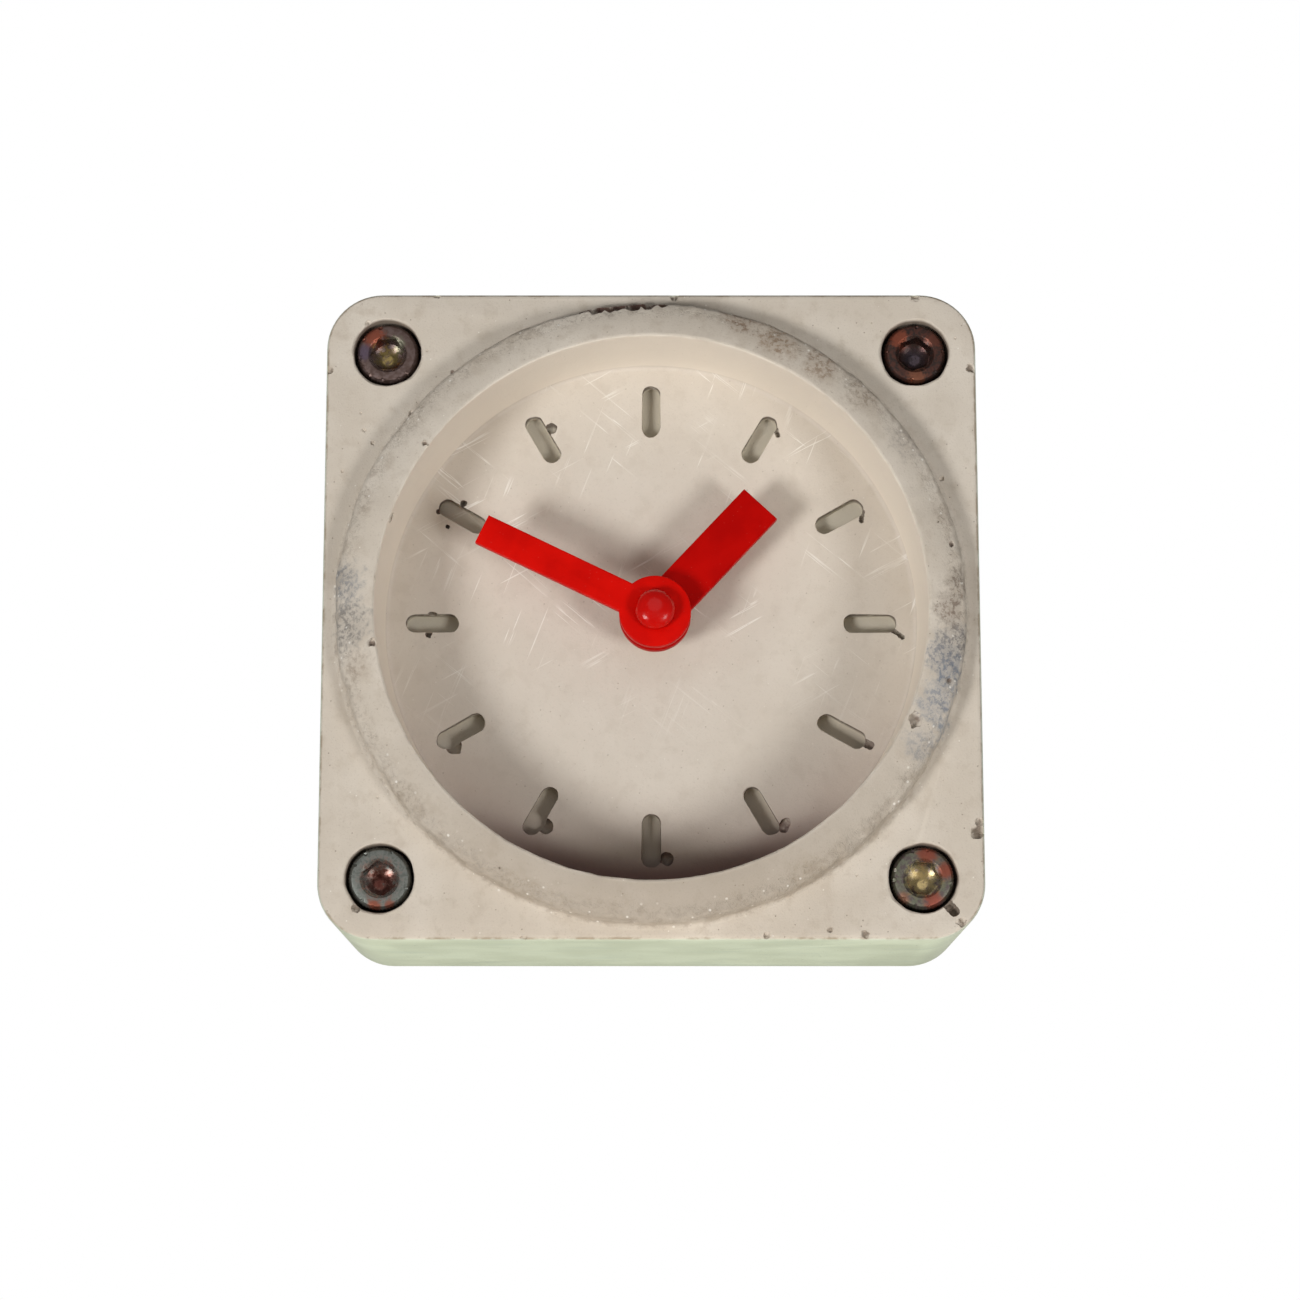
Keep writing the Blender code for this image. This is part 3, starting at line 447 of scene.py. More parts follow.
lumpy(turned_part, 0.34 * MM, 2.1 * MM, 5, rough_share)
for vert in turned_part.verts:
    vert.co.y = max(vert.co.y, -RING_CREST)

block = slab(CASE_SIDE, CASE_SIDE, 0, CASE_DEPTH, corner=9 * MM, segments=14)
round_edges(block, rims(block, 0) + rims(block, CASE_DEPTH), 0.8 * MM, 3)
plug = disc(92 * MM, -MM, 13.5 * MM, sides=120)
casting = combined(block, [plug], "DIFFERENCE")
casting = combined(casting, [turned_part], "UNION")
print(f"ring crest {RING_CREST / MM:.1f} mm proud, {len(casting.faces)} faces so far")

# %% [markdown]
# ## Slots, screw wells and the hollow back
# Pegs in the mould left twelve slots in the dial and four stepped wells for the screws, with slightly
# flared mouths. The back is hollow for the movement, and shallower all round for a steel plate.

# %% Cut the openings
well_inner, well_outer = 5.45 * MM, 5.85 * MM
screw_places = {name: middle(f"screw_{name}") for name in CORNERS}
openings = []
for name, place in screw_places.items():
    well = [(0, 6.9), (5.45, 6.9), (5.45, 0.5), (5.6, 0.15), (5.95, -0.1), (5.95, -1), (0, -1)]
    mouth = turned([(r * MM, d * MM) for r, d in well], 72)
    mouth = lumpy(mouth, 0.16 * MM, 2.6 * MM, place.x * 90 + place.z * 40)
    openings.append(shifted(mouth, place.x, place.z - CENTRE_Z))
slots = []
for hour in range(12):
    slot = slab(2.95 * MM, 8.55 * MM, 10.42 * MM, 12.5 * MM, corner=1.46 * MM, segments=8)
    mouth = [f for f in slot.faces if f.normal.y < -0.9]
    for rise, wider in ((0.36, 0.03), (0.09, 0.09), (0.5, 0.1)):
        mouth = bmesh.ops.extrude_discrete_faces(slot, faces=mouth)["faces"]
        rim = list(mouth[0].verts)
        bmesh.ops.translate(slot, verts=rim, vec=(0, -rise * MM, 0))
        size = (1 + 2 * wider / 3, 1, 1 + 2 * wider / 8.6)
        bmesh.ops.scale(slot, vec=size, verts=rim)
    bmesh.ops.recalc_face_normals(slot, faces=slot.faces)
    lumpy(slot, 0.16 * MM, 2.2 * MM, hour + 1)
    turn = Matrix.Rotation(math.radians(30 * hour), 3, "Y")
    bmesh.ops.rotate(slot, verts=slot.verts, cent=(0, 0, 0), matrix=turn)
    at = clock_point(30 * hour, 35.5 * MM)
    slots.append(shifted(slot, at.x, at.z))
pocket = slab(58 * MM, 58 * MM, 16 * MM, CASE_DEPTH + MM, corner=3 * MM, segments=6)
rebate = slab(97.4 * MM, 97.4 * MM, 34.5 * MM, CASE_DEPTH + 2 * MM, corner=6 * MM, segments=8)
holes = [disc(6.6 * MM, 6 * MM, 36 * MM, 32) for _ in CORNERS]
for hole, place in zip(holes, screw_places.values()):
    shifted(hole, place.x, place.z - CENTRE_Z)
centre_hole = shifted(disc(9 * MM, 8 * MM, 18 * MM, 48), HAND_X)
casting = combined(casting, [together(openings + slots), pocket, rebate, together(holes), centre_hole], "DIFFERENCE")
print(f"{len(slots)} slots and {len(openings)} wells, {len(casting.faces)} faces")

# %% [markdown]
# ## Air bubbles, tails and chips
# Wet concrete traps air against the mould. Where a peg stood, the bubbles gathered at its outer end and
# left a hole, two beads or a small curled tail at most of the slots. Chips came later, on the edges. Each
# is a small lumpy ball taken out of the casting. A tail is a row of them.

# %% Bubbles, tails and chips


def bubble(centre, radius, seed, stretch=(1, 1, 1), detail=3, rough=0.22):
    ball = bmesh.new()
    bmesh.ops.create_icosphere(ball, subdivisions=detail, radius=radius)
    bmesh.ops.scale(ball, vec=stretch, verts=ball.verts)
    lumpy(ball, radius * rough, radius * 0.9, seed)
    bmesh.ops.translate(ball, verts=ball.verts, vec=centre)
    return ball


def trail(points, radius, depth):
    """Balls along a bent line on the dial, given as (clock angle, radius in mm) pairs."""
    spots = [clock_point(angle, r * MM, depth) for angle, r in points]
    balls = []
    for start, end in zip(spots, spots[1:]):
        count = max(1, round((end - start).length / (radius * 0.7)))
        for step in range(count):
            balls.append(bubble(start.lerp(end, step / count), radius, len(balls) * 3 + start.x * 99, detail=2))
    return balls


SLOT_TAILS = {
    1: (0.50, [(29.5, 38.8), (31.8, 38.6), (33.9, 37.4)]),
    2: (0.50, [(59.0, 38.8), (61.8, 39.2), (64.0, 38.1)]),
    3: (0.50, [(91.4, 38.8), (92.3, 39.9), (93.5, 41.1)]),
    4: (0.80, [(119.7, 39.6), (119.6, 41.0)]),
    5: (0.95, [(146.6, 39.2), (148.6, 39.9)]),
}
# (clock angle, distance, radius) of single bubbles at the slots, in millimetres
SLOT_HOLES = (
    (176.3, 38.6, 1.16), (207, 37.3, 1.3), (237.4, 37.7, 1.3), (267.1, 36.1, 0.65), (271.8, 35.6, 0.9),
    (333.3, 36.5, 0.95), (328.6, 34.0, 0.7), (303.1, 36.6, 0.6), (298.2, 39.4, 0.5), (295.8, 36.9, 0.45),
)
rounds = [[], [], []]
for radius, points in SLOT_TAILS.values():
    for index, ball in enumerate(trail(points, radius * MM, 10.25 * MM)):
        rounds[index % 3].append(ball)
for angle, distance, radius in SLOT_HOLES:
    centre = clock_point(angle, distance * MM, 10.35 * MM)
    rounds[0].append(bubble(centre, radius * MM, angle, (1, 1.5, 1)))

# (x, z, depth, radius) of the larger hollows, in millimetres from the middle of the face
HOLLOWS = (
    (-46.2, -47.4, 0, 0.8), (-45.9, 47.6, 0, 0.5), (51.6, -35.3, 0, 1.2), (51.8, -33.9, 0, 0.8),
    (51.6, 40.0, 0, 0.8), (-34.8, 52.4, 0, 0.7), (3.8, 52.3, 0, 0.9), (42.8, 52.0, 0, 0.8), (-52.2, 39.8, 0, 0.8),
    (-46.2, 29.7, 0, 0.35), (-44.8, 27.6, 0, 0.4), (-49.6, 22.9, 0, 0.3), (46.6, 21.7, 0, 0.45), (46.3, 11.5, 0, 0.35),
    (-38.6, 32.4, -0.3, 0.6), (-20.1, 46.4, -0.3, 0.5), (-26.5, 42.8, -0.3, 0.55), (-32.1, 39.4, -0.3, 0.5),
    (-41.4, 14.2, -4.6, 0.9), (-43.2, 4.2, -5.9, 0.7), (-43.9, -6.3, -6.0, 0.8), (-36.0, 26.0, -6.0, 0.6),
    (41.2, -18.6, -5.9, 1.35), (46.9, -12.0, -4.6, 0.7), (47.6, 10.0, -4.4, 0.6),
    (-10.6, 48.6, -3.2, 1.2), (-8.9, 48.9, -3.3, 1.5), (-7.0, 49.2, -3.2, 1.6), (-5.0, 49.5, -3.3, 1.9),
    (-2.8, 49.7, -3.3, 2.1), (-0.6, 49.9, -3.2, 2.0), (1.6, 50.1, -3.0, 1.5),
    (28.0, -50.9, 0, 0.5), (18.0, -51.9, 0, 0.6), (33.5, -51.6, 0, 0.7), (48.6, -49.8, 0, 0.8), (-20.0, -52.3, 0, 0.6),
)
for index, (x, z, depth, radius) in enumerate(HOLLOWS):
    centre = Vector((x * MM, depth * MM, z * MM))
    rounds[index % 3].append(bubble(centre, radius * MM, index + 11, (1, 0.8, 1), rough=0.4))
groove = screw_places["bottom_right"]
for index in range(3):
    along = Vector((groove.x, 0, groove.z - CENTRE_Z)) + Vector((3.8 + 0.5 * index, 0.3, -4.2 - 0.55 * index)) * MM
    rounds[index].append(bubble(along, 0.9 * MM, index + 60, (1, 1.6, 1), rough=0.15))
for balls in rounds:
    casting = combined(casting, [together(balls)], "DIFFERENCE")
print(f"{sum(map(len, rounds))} bubbles, tails and chips, {len(casting.faces)} faces")

# %% [markdown]
# ## Pinholes
# Smaller pinholes are scattered over every outer face. They are few-sided, because there are many of them.

# %% Pinholes
pins = []
spots = []
half = CASE_SIDE / 2


def free(spot, radius):
    return all((spot - other).length > radius + size + 0.1 * MM for other, size in spots)


while len(pins) < 260:
    radius = random.uniform(0.12, 0.30) * MM
    a, b = random.uniform(-0.94, 0.94) * half, random.uniform(0.04, 0.94)
    face = random.choice(("front", "front", "ring", "left", "right", "top", "bottom"))
    if face == "front":
        spot = Vector((a, -0.05 * MM, random.uniform(-0.94, 0.94) * half))
        if math.hypot(spot.x, spot.z) < 52 * MM:
            continue
    elif face == "ring":
        distance = random.uniform(44.6, 48.4)
        spot = clock_point(random.uniform(0, 360), distance * MM, (-5.9 + 0.42 * (distance - 44.6)) * MM)
    elif face in ("left", "right"):
        spot = Vector((half if face == "right" else -half, b * CASE_DEPTH, a * 0.88))
    else:
        spot = Vector((a * 0.88, b * CASE_DEPTH, half if face == "top" else -half))
    if free(spot, radius):
        spots.append((spot, radius))
        pins.append(bubble(spot, radius, len(pins), (1, 0.8, 1), detail=1, rough=0.3))
casting = combined(casting, [together(pins)], "DIFFERENCE")
print(f"{len(pins)} pinholes, {len(casting.faces)} faces")

# %% [markdown]
# ## Putting a piece in its place
# Each finished piece is moved to the clock, rides on its body, stands for its node of the frame and takes
# that node's finish. Faces that lie flat stay flat, so light runs straight across them.

# %% Finish and place a piece


def piece(name, bm, body, finish, slot_name, x=0.0, z=0.0, sharp=35, nodes=None):
    bmesh.ops.translate(bm, verts=bm.verts, vec=(x, FACE_Y, CENTRE_Z + z))
    bmesh.ops.remove_doubles(bm, verts=bm.verts, dist=0.0005 * MM)
    bmesh.ops.recalc_face_normals(bm, faces=bm.faces)
    for face in bm.faces:
        spans = [max(v.co[axis] for v in face.verts) - min(v.co[axis] for v in face.verts) for axis in range(3)]
        face.smooth = min(spans) > 0.002 * MM
    mesh = to_mesh(bm, name)
    mesh.set_sharp_from_angle(angle=math.radians(sharp))
    mesh.materials.append(finish)
    made = bpy.data.objects.new(name, mesh)
    scene.collection.objects.link(made)
    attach(made, body)
    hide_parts(*(nodes or (name,)))
    return made


# %% [markdown]
# ## Concrete
# Light grey-beige concrete, cast against a smooth mould: fine grain, a faint mottling from uneven drying and
# pores too small to model. The sides keep a greenish tint with faint bluish streaks along the mould. The
# ring has been handled, so grey and brown dirt sits in its rough patches, and the dial has light scratches.
# Shade is painted into the colour as well: in the hollows, in the ring's break-out, low on the dial and over the bottom
# of the ring, and light is painted on the ring's inner wall.

# %% Concrete finish


def away_from(tree, place, point, stretch=(1, 1, 1)):
    """Distance in millimetres from a point, longer or shorter along each axis."""
    moved = add(tree, "ShaderNodeVectorMath", {0: place, 1: tuple(point)}, operation="SUBTRACT").outputs[0]
    shaped = add(tree, "ShaderNodeVectorMath", {0: moved, 1: stretch}, operation="MULTIPLY").outputs[0]
    return add(tree, "ShaderNodeVectorMath", {0: shaped}, operation="LENGTH").outputs["Value"]


def patch(tree, shade, place, noise_value, point, size, paint, strength, stretch=(1, 1, 1), speckle=None):
    """Paint with a ragged edge around a point: stains, and painted shadow in the ring's hollows."""
    distance = away_from(tree, place, point, stretch)
    ragged = sum_of(tree, "ADD", distance, sum_of(tree, "MULTIPLY", noise_value, size * 1.6))
    mask = fade(tree, ragged, size * 1.9, size * 1.2)
    if speckle:
        mask = sum_of(tree, "MULTIPLY", mask, speckle)
    return blended(tree, sum_of(tree, "MULTIPLY", mask, strength), shade, paint)


concrete, tree, shader, place = start_material("cast concrete", 0.86)
parts = add(tree, "ShaderNodeSeparateXYZ", {0: place})
ragged_noise = grain(tree, place, 1.6, 4, 0.6)
cloud = grain(tree, place, 11, 3)
blotch = grain(tree, place, 3.2, 4, 0.6)
fine = grain(tree, place, 0.35, 2, 0.7)
shade = blended(tree, fade(tree, cloud, 0.35, 0.68), "#cdc2b3", "#d6ccbe")
shade = blended(tree, sum_of(tree, "MULTIPLY", fade(tree, blotch, 0.50, 0.70), 0.5), shade, "#bdb09f")
shade = blended(tree, sum_of(tree, "MULTIPLY", fade(tree, fine, 0.55, 0.75), 0.45), shade, "#b0a292")

# the sides: how far a point is out from the front's rounded square
flat = add(tree, "ShaderNodeVectorMath", {0: place}, operation="ABSOLUTE").outputs[0]
past = add(tree, "ShaderNodeVectorMath", {0: flat, 1: (43.5, 500, 43.5)}, operation="SUBTRACT").outputs[0]
past = add(tree, "ShaderNodeVectorMath", {0: past, 1: (0, 0, 0)}, operation="MAXIMUM").outputs[0]
outward = add(tree, "ShaderNodeVectorMath", {0: past}, operation="LENGTH").outputs["Value"]
outward = sum_of(tree, "ADD", outward, sum_of(tree, "MULTIPLY", blotch, 0.25))
streak_place = add(tree, "ShaderNodeVectorMath", {0: place, 1: (0.06, 1.4, 0.06)}, operation="MULTIPLY").outputs[0]
streak = add(tree, "ShaderNodeTexNoise", {"Vector": streak_place, "Scale": 1.0, "Detail": 3.0}).outputs["Fac"]
side = blended(tree, fade(tree, cloud, 0.35, 0.65), "#c8cdbb", "#cfd4c3")
side = blended(tree, sum_of(tree, "MULTIPLY", fade(tree, streak, 0.58, 0.70), 0.55), side, "#b4bfb5")
edge_line = sum_of(tree, "MULTIPLY", fade(tree, outward, 8.55, 8.85), fade(tree, outward, 9.1, 8.9))
shade = blended(tree, fade(tree, outward, 8.75, 9.0), shade, side)
shade = blended(tree, sum_of(tree, "MULTIPLY", edge_line, fade(tree, blotch, 0.42, 0.62)), shade, "#a99a86")

# pores and dark specks, a fifth of a millimetre across, about one to every two square millimetres
cells = add(tree, "ShaderNodeTexVoronoi", {"Vector": place, "Scale": 0.75, "Randomness": 1.0})
pore = fade(tree, cells.outputs["Distance"], 0.10, 0.05)
chosen = add(tree, "ShaderNodeSeparateColor", {0: cells.outputs["Color"]}).outputs[0]
pore = sum_of(tree, "MULTIPLY", pore, fade(tree, chosen, 0.55, 0.6))
shade = blended(tree, sum_of(tree, "MULTIPLY", pore, 0.6), shade, "#85705f")
light_cells = add(tree, "ShaderNodeTexVoronoi", {"Vector": place, "Scale": 0.45, "Randomness": 1.0})
fleck = fade(tree, light_cells.outputs["Distance"], 0.07, 0.03)
shade = blended(tree, sum_of(tree, "MULTIPLY", fleck, 0.7), shade, "#efe9df")

# the dial is a little lighter, and rubbed by fine straight scratches
radial = away_from(tree, place, (0, 0, 0), (1, 0, 1))
on_dial = sum_of(tree, "MULTIPLY", fade(tree, parts.outputs["Y"], 9.0, 9.7), fade(tree, radial, 45, 44))
shade = blended(tree, sum_of(tree, "MULTIPLY", on_dial, 0.5), shade, "#d6cdc1")
rubbed = sum_of(tree, "MULTIPLY", fade(tree, grain(tree, place, 14, 2), 0.45, 0.62), fade(tree, parts.outputs["Z"], -24, 4))
for turn, wide in ((0.5, 0.9), (-0.7, 1.3), (1.2, 1.1)):
    turned_place = add(tree, "ShaderNodeVectorRotate", {"Vector": place, "Angle": turn}, rotation_type="Y_AXIS")
    drawn = add(
        tree,
        "ShaderNodeVectorMath",
        {0: turned_place.outputs[0], 1: (0.035, 0.0, wide)},
        operation="MULTIPLY",
    ).outputs[0]
    hair = add(tree, "ShaderNodeTexNoise", {"Vector": drawn, "Scale": 1.0, "Detail": 2.0}).outputs["Fac"]
    line = sum_of(tree, "MULTIPLY", fade(tree, hair, 0.635, 0.655), fade(tree, hair, 0.69, 0.67))
    line = sum_of(tree, "MULTIPLY", sum_of(tree, "MULTIPLY", line, on_dial), rubbed)
    shade = blended(tree, sum_of(tree, "MULTIPLY", line, 0.85), shade, "#f0ebe2")

# what goes below the dial's surface is a greener grey; deeper down, painted shade and dirt darken the dial's hollows in
# ragged patches, and painted shade darkens everything that goes below the front
below_dial = sum_of(tree, "MULTIPLY", fade(tree, parts.outputs["Y"], 10.06, 10.6), fade(tree, radial, 45, 44))
shade = blended(tree, sum_of(tree, "MULTIPLY", below_dial, 0.6), shade, "#c4bda9")
# painted shade and dirt: dark brown in ragged patches in the slots, tails and bubbles of the dial
dial_hollow_shade_and_dirt = sum_of(tree, "MULTIPLY", fade(tree, parts.outputs["Y"], 10.04, 10.3), fade(tree, ragged_noise, 0.30, 0.50))
dial_hollow_shade_and_dirt = sum_of(tree, "MULTIPLY", dial_hollow_shade_and_dirt, fade(tree, parts.outputs["Y"], 12.2, 11.0))
dial_hollow_shade_and_dirt = sum_of(tree, "MULTIPLY", dial_hollow_shade_and_dirt, on_dial)
shade = blended(tree, sum_of(tree, "MULTIPLY", dial_hollow_shade_and_dirt, 0.75), shade, "#4c3a2e")
# painted shade: the pits, chips and screw wells of the front are darkened
front_hollow_painted_shade = sum_of(tree, "MULTIPLY", fade(tree, parts.outputs["Y"], 0.12, 0.7), fade(tree, outward, 8.9, 8.4))
front_hollow_painted_shade = sum_of(tree, "MULTIPLY", front_hollow_painted_shade, fade(tree, radial, 51.0, 51.6))
front_hollow_painted_shade = sum_of(tree, "MULTIPLY", front_hollow_painted_shade, fade(tree, parts.outputs["Y"], 9, 7))
shade = blended(tree, sum_of(tree, "MULTIPLY", front_hollow_painted_shade, 0.8), shade, "#6f5f50")

# painted shadow lies dark on the dial along the foot of the ring, below the middle, with a wider faint mauve painted
# shade round it
low_down = fade(tree, parts.outputs["Z"], -26, -42)
foot_painted_shadow = sum_of(tree, "MULTIPLY", sum_of(tree, "MULTIPLY", low_down, fade(tree, radial, 36.5, 41.5)), on_dial)
shade = blended(tree, sum_of(tree, "MULTIPLY", foot_painted_shadow, 0.92), shade, "#4e302d")
hem_painted_shade = sum_of(tree, "MULTIPLY", fade(tree, parts.outputs["Z"], -4, -36), fade(tree, radial, 24, 42))
hem_painted_shade = sum_of(tree, "MULTIPLY", hem_painted_shade, on_dial)
shade = blended(tree, sum_of(tree, "MULTIPLY", hem_painted_shade, 0.42), shade, "#8a706b")

# dirt on the ring: (clock angle, radius, depth, size, colour, strength)
RING_DIRT = (
    (97, 48.6, -4.2, 4.0, "#85807c", 0.9), (91, 47.0, -5.0, 2.8, "#7c6a5c", 0.8), (101, 46.6, -5.2, 3.4, "#7e8086", 0.85),
    (109, 47.2, -5.0, 3.4, "#868a92", 0.8), (86, 48.6, -4.2, 2.8, "#857668", 0.8), (118, 47.6, -4.6, 3.0, "#8d8d90", 0.6), (104, 48.9, -3.7, 3.2, "#7b828c", 0.75),
    (113, 49.6, -2.4, 2.8, "#7f8894", 0.75), (266, 48.0, -4.4, 4.5, "#827d78", 0.8), (274, 49.0, -3.7, 3.8, "#858689", 0.75),
    (258, 47.2, -5.0, 2.6, "#93806e", 0.5), (25, 48.2, -4.3, 4.0, "#957c64", 0.85), (17, 48.8, -3.9, 3.0, "#8a715b", 0.85),
    (35, 47.6, -4.6, 3.2, "#8f7761", 0.75), (45, 48.4, -4.1, 3.6, "#998876", 0.7), (57, 48.6, -4.2, 3.2, "#9d9389", 0.5),
    (310, 49.0, -3.8, 3.6, "#a39583", 0.45), (333, 48.8, -4.0, 3.2, "#a39583", 0.4), (205, 49.2, -3.4, 3.6, "#a2937f", 0.4),
    (150, 49.0, -3.6, 3.4, "#a2937f", 0.4), (232, 48.8, -3.8, 3.0, "#9a8c7a", 0.45), (72, 49.0, -3.8, 2.6, "#a08f7d", 0.45),
)
crumbs = grain(tree, place, 0.85, 5, 0.75)
speckled = add(tree, "ShaderNodeMapRange", {"Value": fade(tree, crumbs, 0.45, 0.60), "To Min": 0.35}).outputs[0]
speckled = sum_of(tree, "MULTIPLY", speckled, fade(tree, radial, 51.4, 50.4))
on_ring = sum_of(tree, "MULTIPLY", fade(tree, radial, 46.5, 48.5), fade(tree, radial, 51.4, 50.4))
on_ring = sum_of(tree, "MULTIPLY", on_ring, fade(tree, parts.outputs["Y"], 0.3, -0.2))
worn = sum_of(tree, "MULTIPLY", on_ring, fade(tree, grain(tree, place, 2.4, 5, 0.7), 0.50, 0.62))
shade = blended(tree, sum_of(tree, "MULTIPLY", worn, 0.38), shade, "#9c8d7c")
salt = add(tree, "ShaderNodeTexVoronoi", {"Vector": place, "Scale": 0.55, "Randomness": 1.0})
salt = sum_of(tree, "MULTIPLY", fade(tree, salt.outputs["Distance"], 0.15, 0.08), on_ring)
# painted shade: the whole ring is darker towards the bottom
whole_ring = sum_of(tree, "MULTIPLY", fade(tree, radial, 43.5, 44.5), fade(tree, radial, 50.6, 49.8))
ring_lower_painted_shade = sum_of(tree, "MULTIPLY", whole_ring, fade(tree, parts.outputs["Z"], -8, -44))
shade = blended(tree, sum_of(tree, "MULTIPLY", ring_lower_painted_shade, 0.55), shade, "#9d9080")
for degrees, distance, depth, size, paint, strength in RING_DIRT:
    point = clock_point(degrees, distance, depth)
    shade = patch(tree, shade, place, ragged_noise, point, size * 1.15, paint, strength, speckle=speckled)
# painted shadow: dark red-brown in the break-out at the top of the ring's outer edge
for x, z, size in ((-10.4, 48.9, 1.1), (-8.0, 49.3, 1.5), (-5.2, 49.8, 1.9), (-2.2, 50.2, 2.2), (0.8, 50.4, 1.9)):
    shade = patch(tree, shade, place, ragged_noise, (x, -2.4, z), size, "#57332a", 0.9, (1, 0.8, 1.2))
# painted shade inside the deeper hollows of the ring
for x, z, depth, radius in HOLLOWS:
    if depth < -0.2:
        shade = patch(tree, shade, place, ragged_noise, (x, depth + 0.4, z), radius * 0.75, "#5d4638", 0.75)
shade = blended(tree, sum_of(tree, "MULTIPLY", salt, 0.7), shade, "#f2ede4")
# painted light: the ring's inner wall is lighter all round
inner_wall_painted_light = sum_of(tree, "MULTIPLY", fade(tree, radial, 43.95, 43.7), fade(tree, parts.outputs["Y"], 9.7, 9.0))
shade = blended(tree, sum_of(tree, "MULTIPLY", inner_wall_painted_light, 0.85), shade, "#ece3d4")
tree.links.new(shade, shader.inputs["Base Color"])
rough = sum_of(tree, "MULTIPLY", fine, 0.030)
rough = sum_of(tree, "ADD", rough, sum_of(tree, "MULTIPLY", ragged_noise, 0.05))
rough = sum_of(tree, "SUBTRACT", rough, sum_of(tree, "MULTIPLY", pore, 0.05))
pitted = sum_of(tree, "MULTIPLY", on_ring, fade(tree, crumbs, 0.46, 0.68))
rough = sum_of(tree, "SUBTRACT", rough, sum_of(tree, "MULTIPLY", pitted, 0.06))
bumped(tree, shader, rough)
case = piece("case_casting", casting, "clock_case", concrete, "concrete", sharp=27, nodes=["case"])
print(f"casting: {len(case.data.polygons)} faces")

# %% [markdown]
# ## Finishes for metal, plastic and the rest
# One recipe serves the pieces whose surface is even: a base colour that drifts a little, a roughness that
# varies with wear and a fine bump. The lump sizes are in millimetres and follow each material: brushed
# marks on plate, moulded grain on plastic, cells in foam.

# %% Even finishes


def even(name, paint, worn, roughness, metallic, lump, bump, stretch=(1, 1, 1), share=0.5, **more):
    made, tree, shader, place = start_material(name, roughness, metallic, **more)
    drawn = add(tree, "ShaderNodeVectorMath", {0: place, 1: stretch}, operation="MULTIPLY").outputs[0]
    patches = grain(tree, drawn, lump * 4, 4, 0.6)
    texture = grain(tree, drawn, lump, 3, 0.6)
    mask = sum_of(tree, "MULTIPLY", fade(tree, patches, 0.45, 0.70), share)
    tree.links.new(blended(tree, mask, paint, worn), shader.inputs["Base Color"])
    span = {"Value": texture, "From Min": 0.3, "From Max": 0.7}
    ends = {"To Min": roughness - 0.07, "To Max": roughness + 0.09}
    varied = add(tree, "ShaderNodeMapRange", {**span, **ends}).outputs["Result"]
    tree.links.new(varied, shader.inputs["Roughness"])
    bumped(tree, shader, sum_of(tree, "MULTIPLY", texture, bump))
    return made


FINISHES = {
    # sheet steel, sprayed pale and rubbed along its edges
    "painted_plate": even("sprayed steel sheet", "#b9b7ae", "#a8a59b", 0.55, 0.0, 0.6, 0.03),
    # bright zinc plating on nuts and washers, dulled in patches
    "zinc_steel": even("zinc-plated steel", "#a9a9a6", "#8d8c86", 0.38, 1.0, 0.5, 0.012),
    # rolled spring strip, with marks along its length
    "spring_steel": even("nickel-plated spring strip", "#b9b6ae", "#9d9a92", 0.3, 1.0, 0.3, 0.008, (1, 1, 0.1)),
    # open-cell foam, cut from sheet
    "foam": even("black foam", "#2d2c2a", "#3a3936", 0.95, 0.0, 0.4, 0.16),
    "rubber": even("moulded rubber", "#262523", "#34322f", 0.75, 0.0, 0.3, 0.02),
    # moulded in a lightly sparked tool, which leaves an even matt grain
    "black_plastic": even("black moulded plastic", "#1e1e1f", "#29292a", 0.5, 0.0, 0.25, 0.02),
    "grey_plastic": even("grey moulded plastic", "#8a8c8b", "#7d7f7e", 0.45, 0.0, 0.25, 0.012),
    "white_plastic": even("white acetal", "#dedcd3", "#cfccc1", 0.35, 0.0, 0.3, 0.008),
    "knob_plastic": even("moulded knob plastic", "#c9c6bc", "#b5b2a8", 0.45, 0.0, 0.25, 0.012),
    # turned bar: the tool marks run round it, too fine to show
    "brass": even("turned brass", "#c3a25c", "#9c7d42", 0.32, 1.0, 0.4, 0.008),
    "copper": even("enamelled copper wire", "#b0663a", "#8f4d2a", 0.3, 1.0, 0.2, 0.02, (1, 3, 1)),
    "ferrite": even("sintered ferrite", "#3a3a3c", "#2b2b2d", 0.6, 0.0, 0.3, 0.02),
    "board": even("fibre circuit board", "#3f6b4a", "#2f5639", 0.45, 0.0, 0.5, 0.012),
}
print(f"{len(FINISHES)} even finishes")

# %% [markdown]
# ## Red hands
# The hands are sawn from opaque red acrylic about two millimetres thick. Their faces are glossy under a
# thin film of dust. Their cut edges were broken with a file, which the small bevel stands for.

# %% Hands and cap


def red(name, paint, worn, roughness, gloss):
    made, tree, shader, place = start_material(name, roughness, 0.0, Specular_IOR_Level=gloss)
    dust = grain(tree, place, 0.5, 4, 0.7)
    drift = grain(tree, place, 6, 3)
    shade = blended(tree, fade(tree, drift, 0.35, 0.65), paint, worn)
    cells = add(tree, "ShaderNodeTexVoronoi", {"Vector": place, "Scale": 1.1})
    speck = fade(tree, cells.outputs["Distance"], 0.09, 0.04)
    shade = blended(tree, sum_of(tree, "MULTIPLY", speck, 0.12), shade, "#e0a79c")
    tree.links.new(shade, shader.inputs["Base Color"])
    span = {"Value": dust, "From Min": 0.3, "From Max": 0.75}
    ends = {"To Min": roughness - 0.05, "To Max": roughness + 0.12}
    tree.links.new(add(tree, "ShaderNodeMapRange", {**span, **ends}).outputs["Result"], shader.inputs["Roughness"])
    bumped(tree, shader, sum_of(tree, "MULTIPLY", dust, 0.006))
    return made


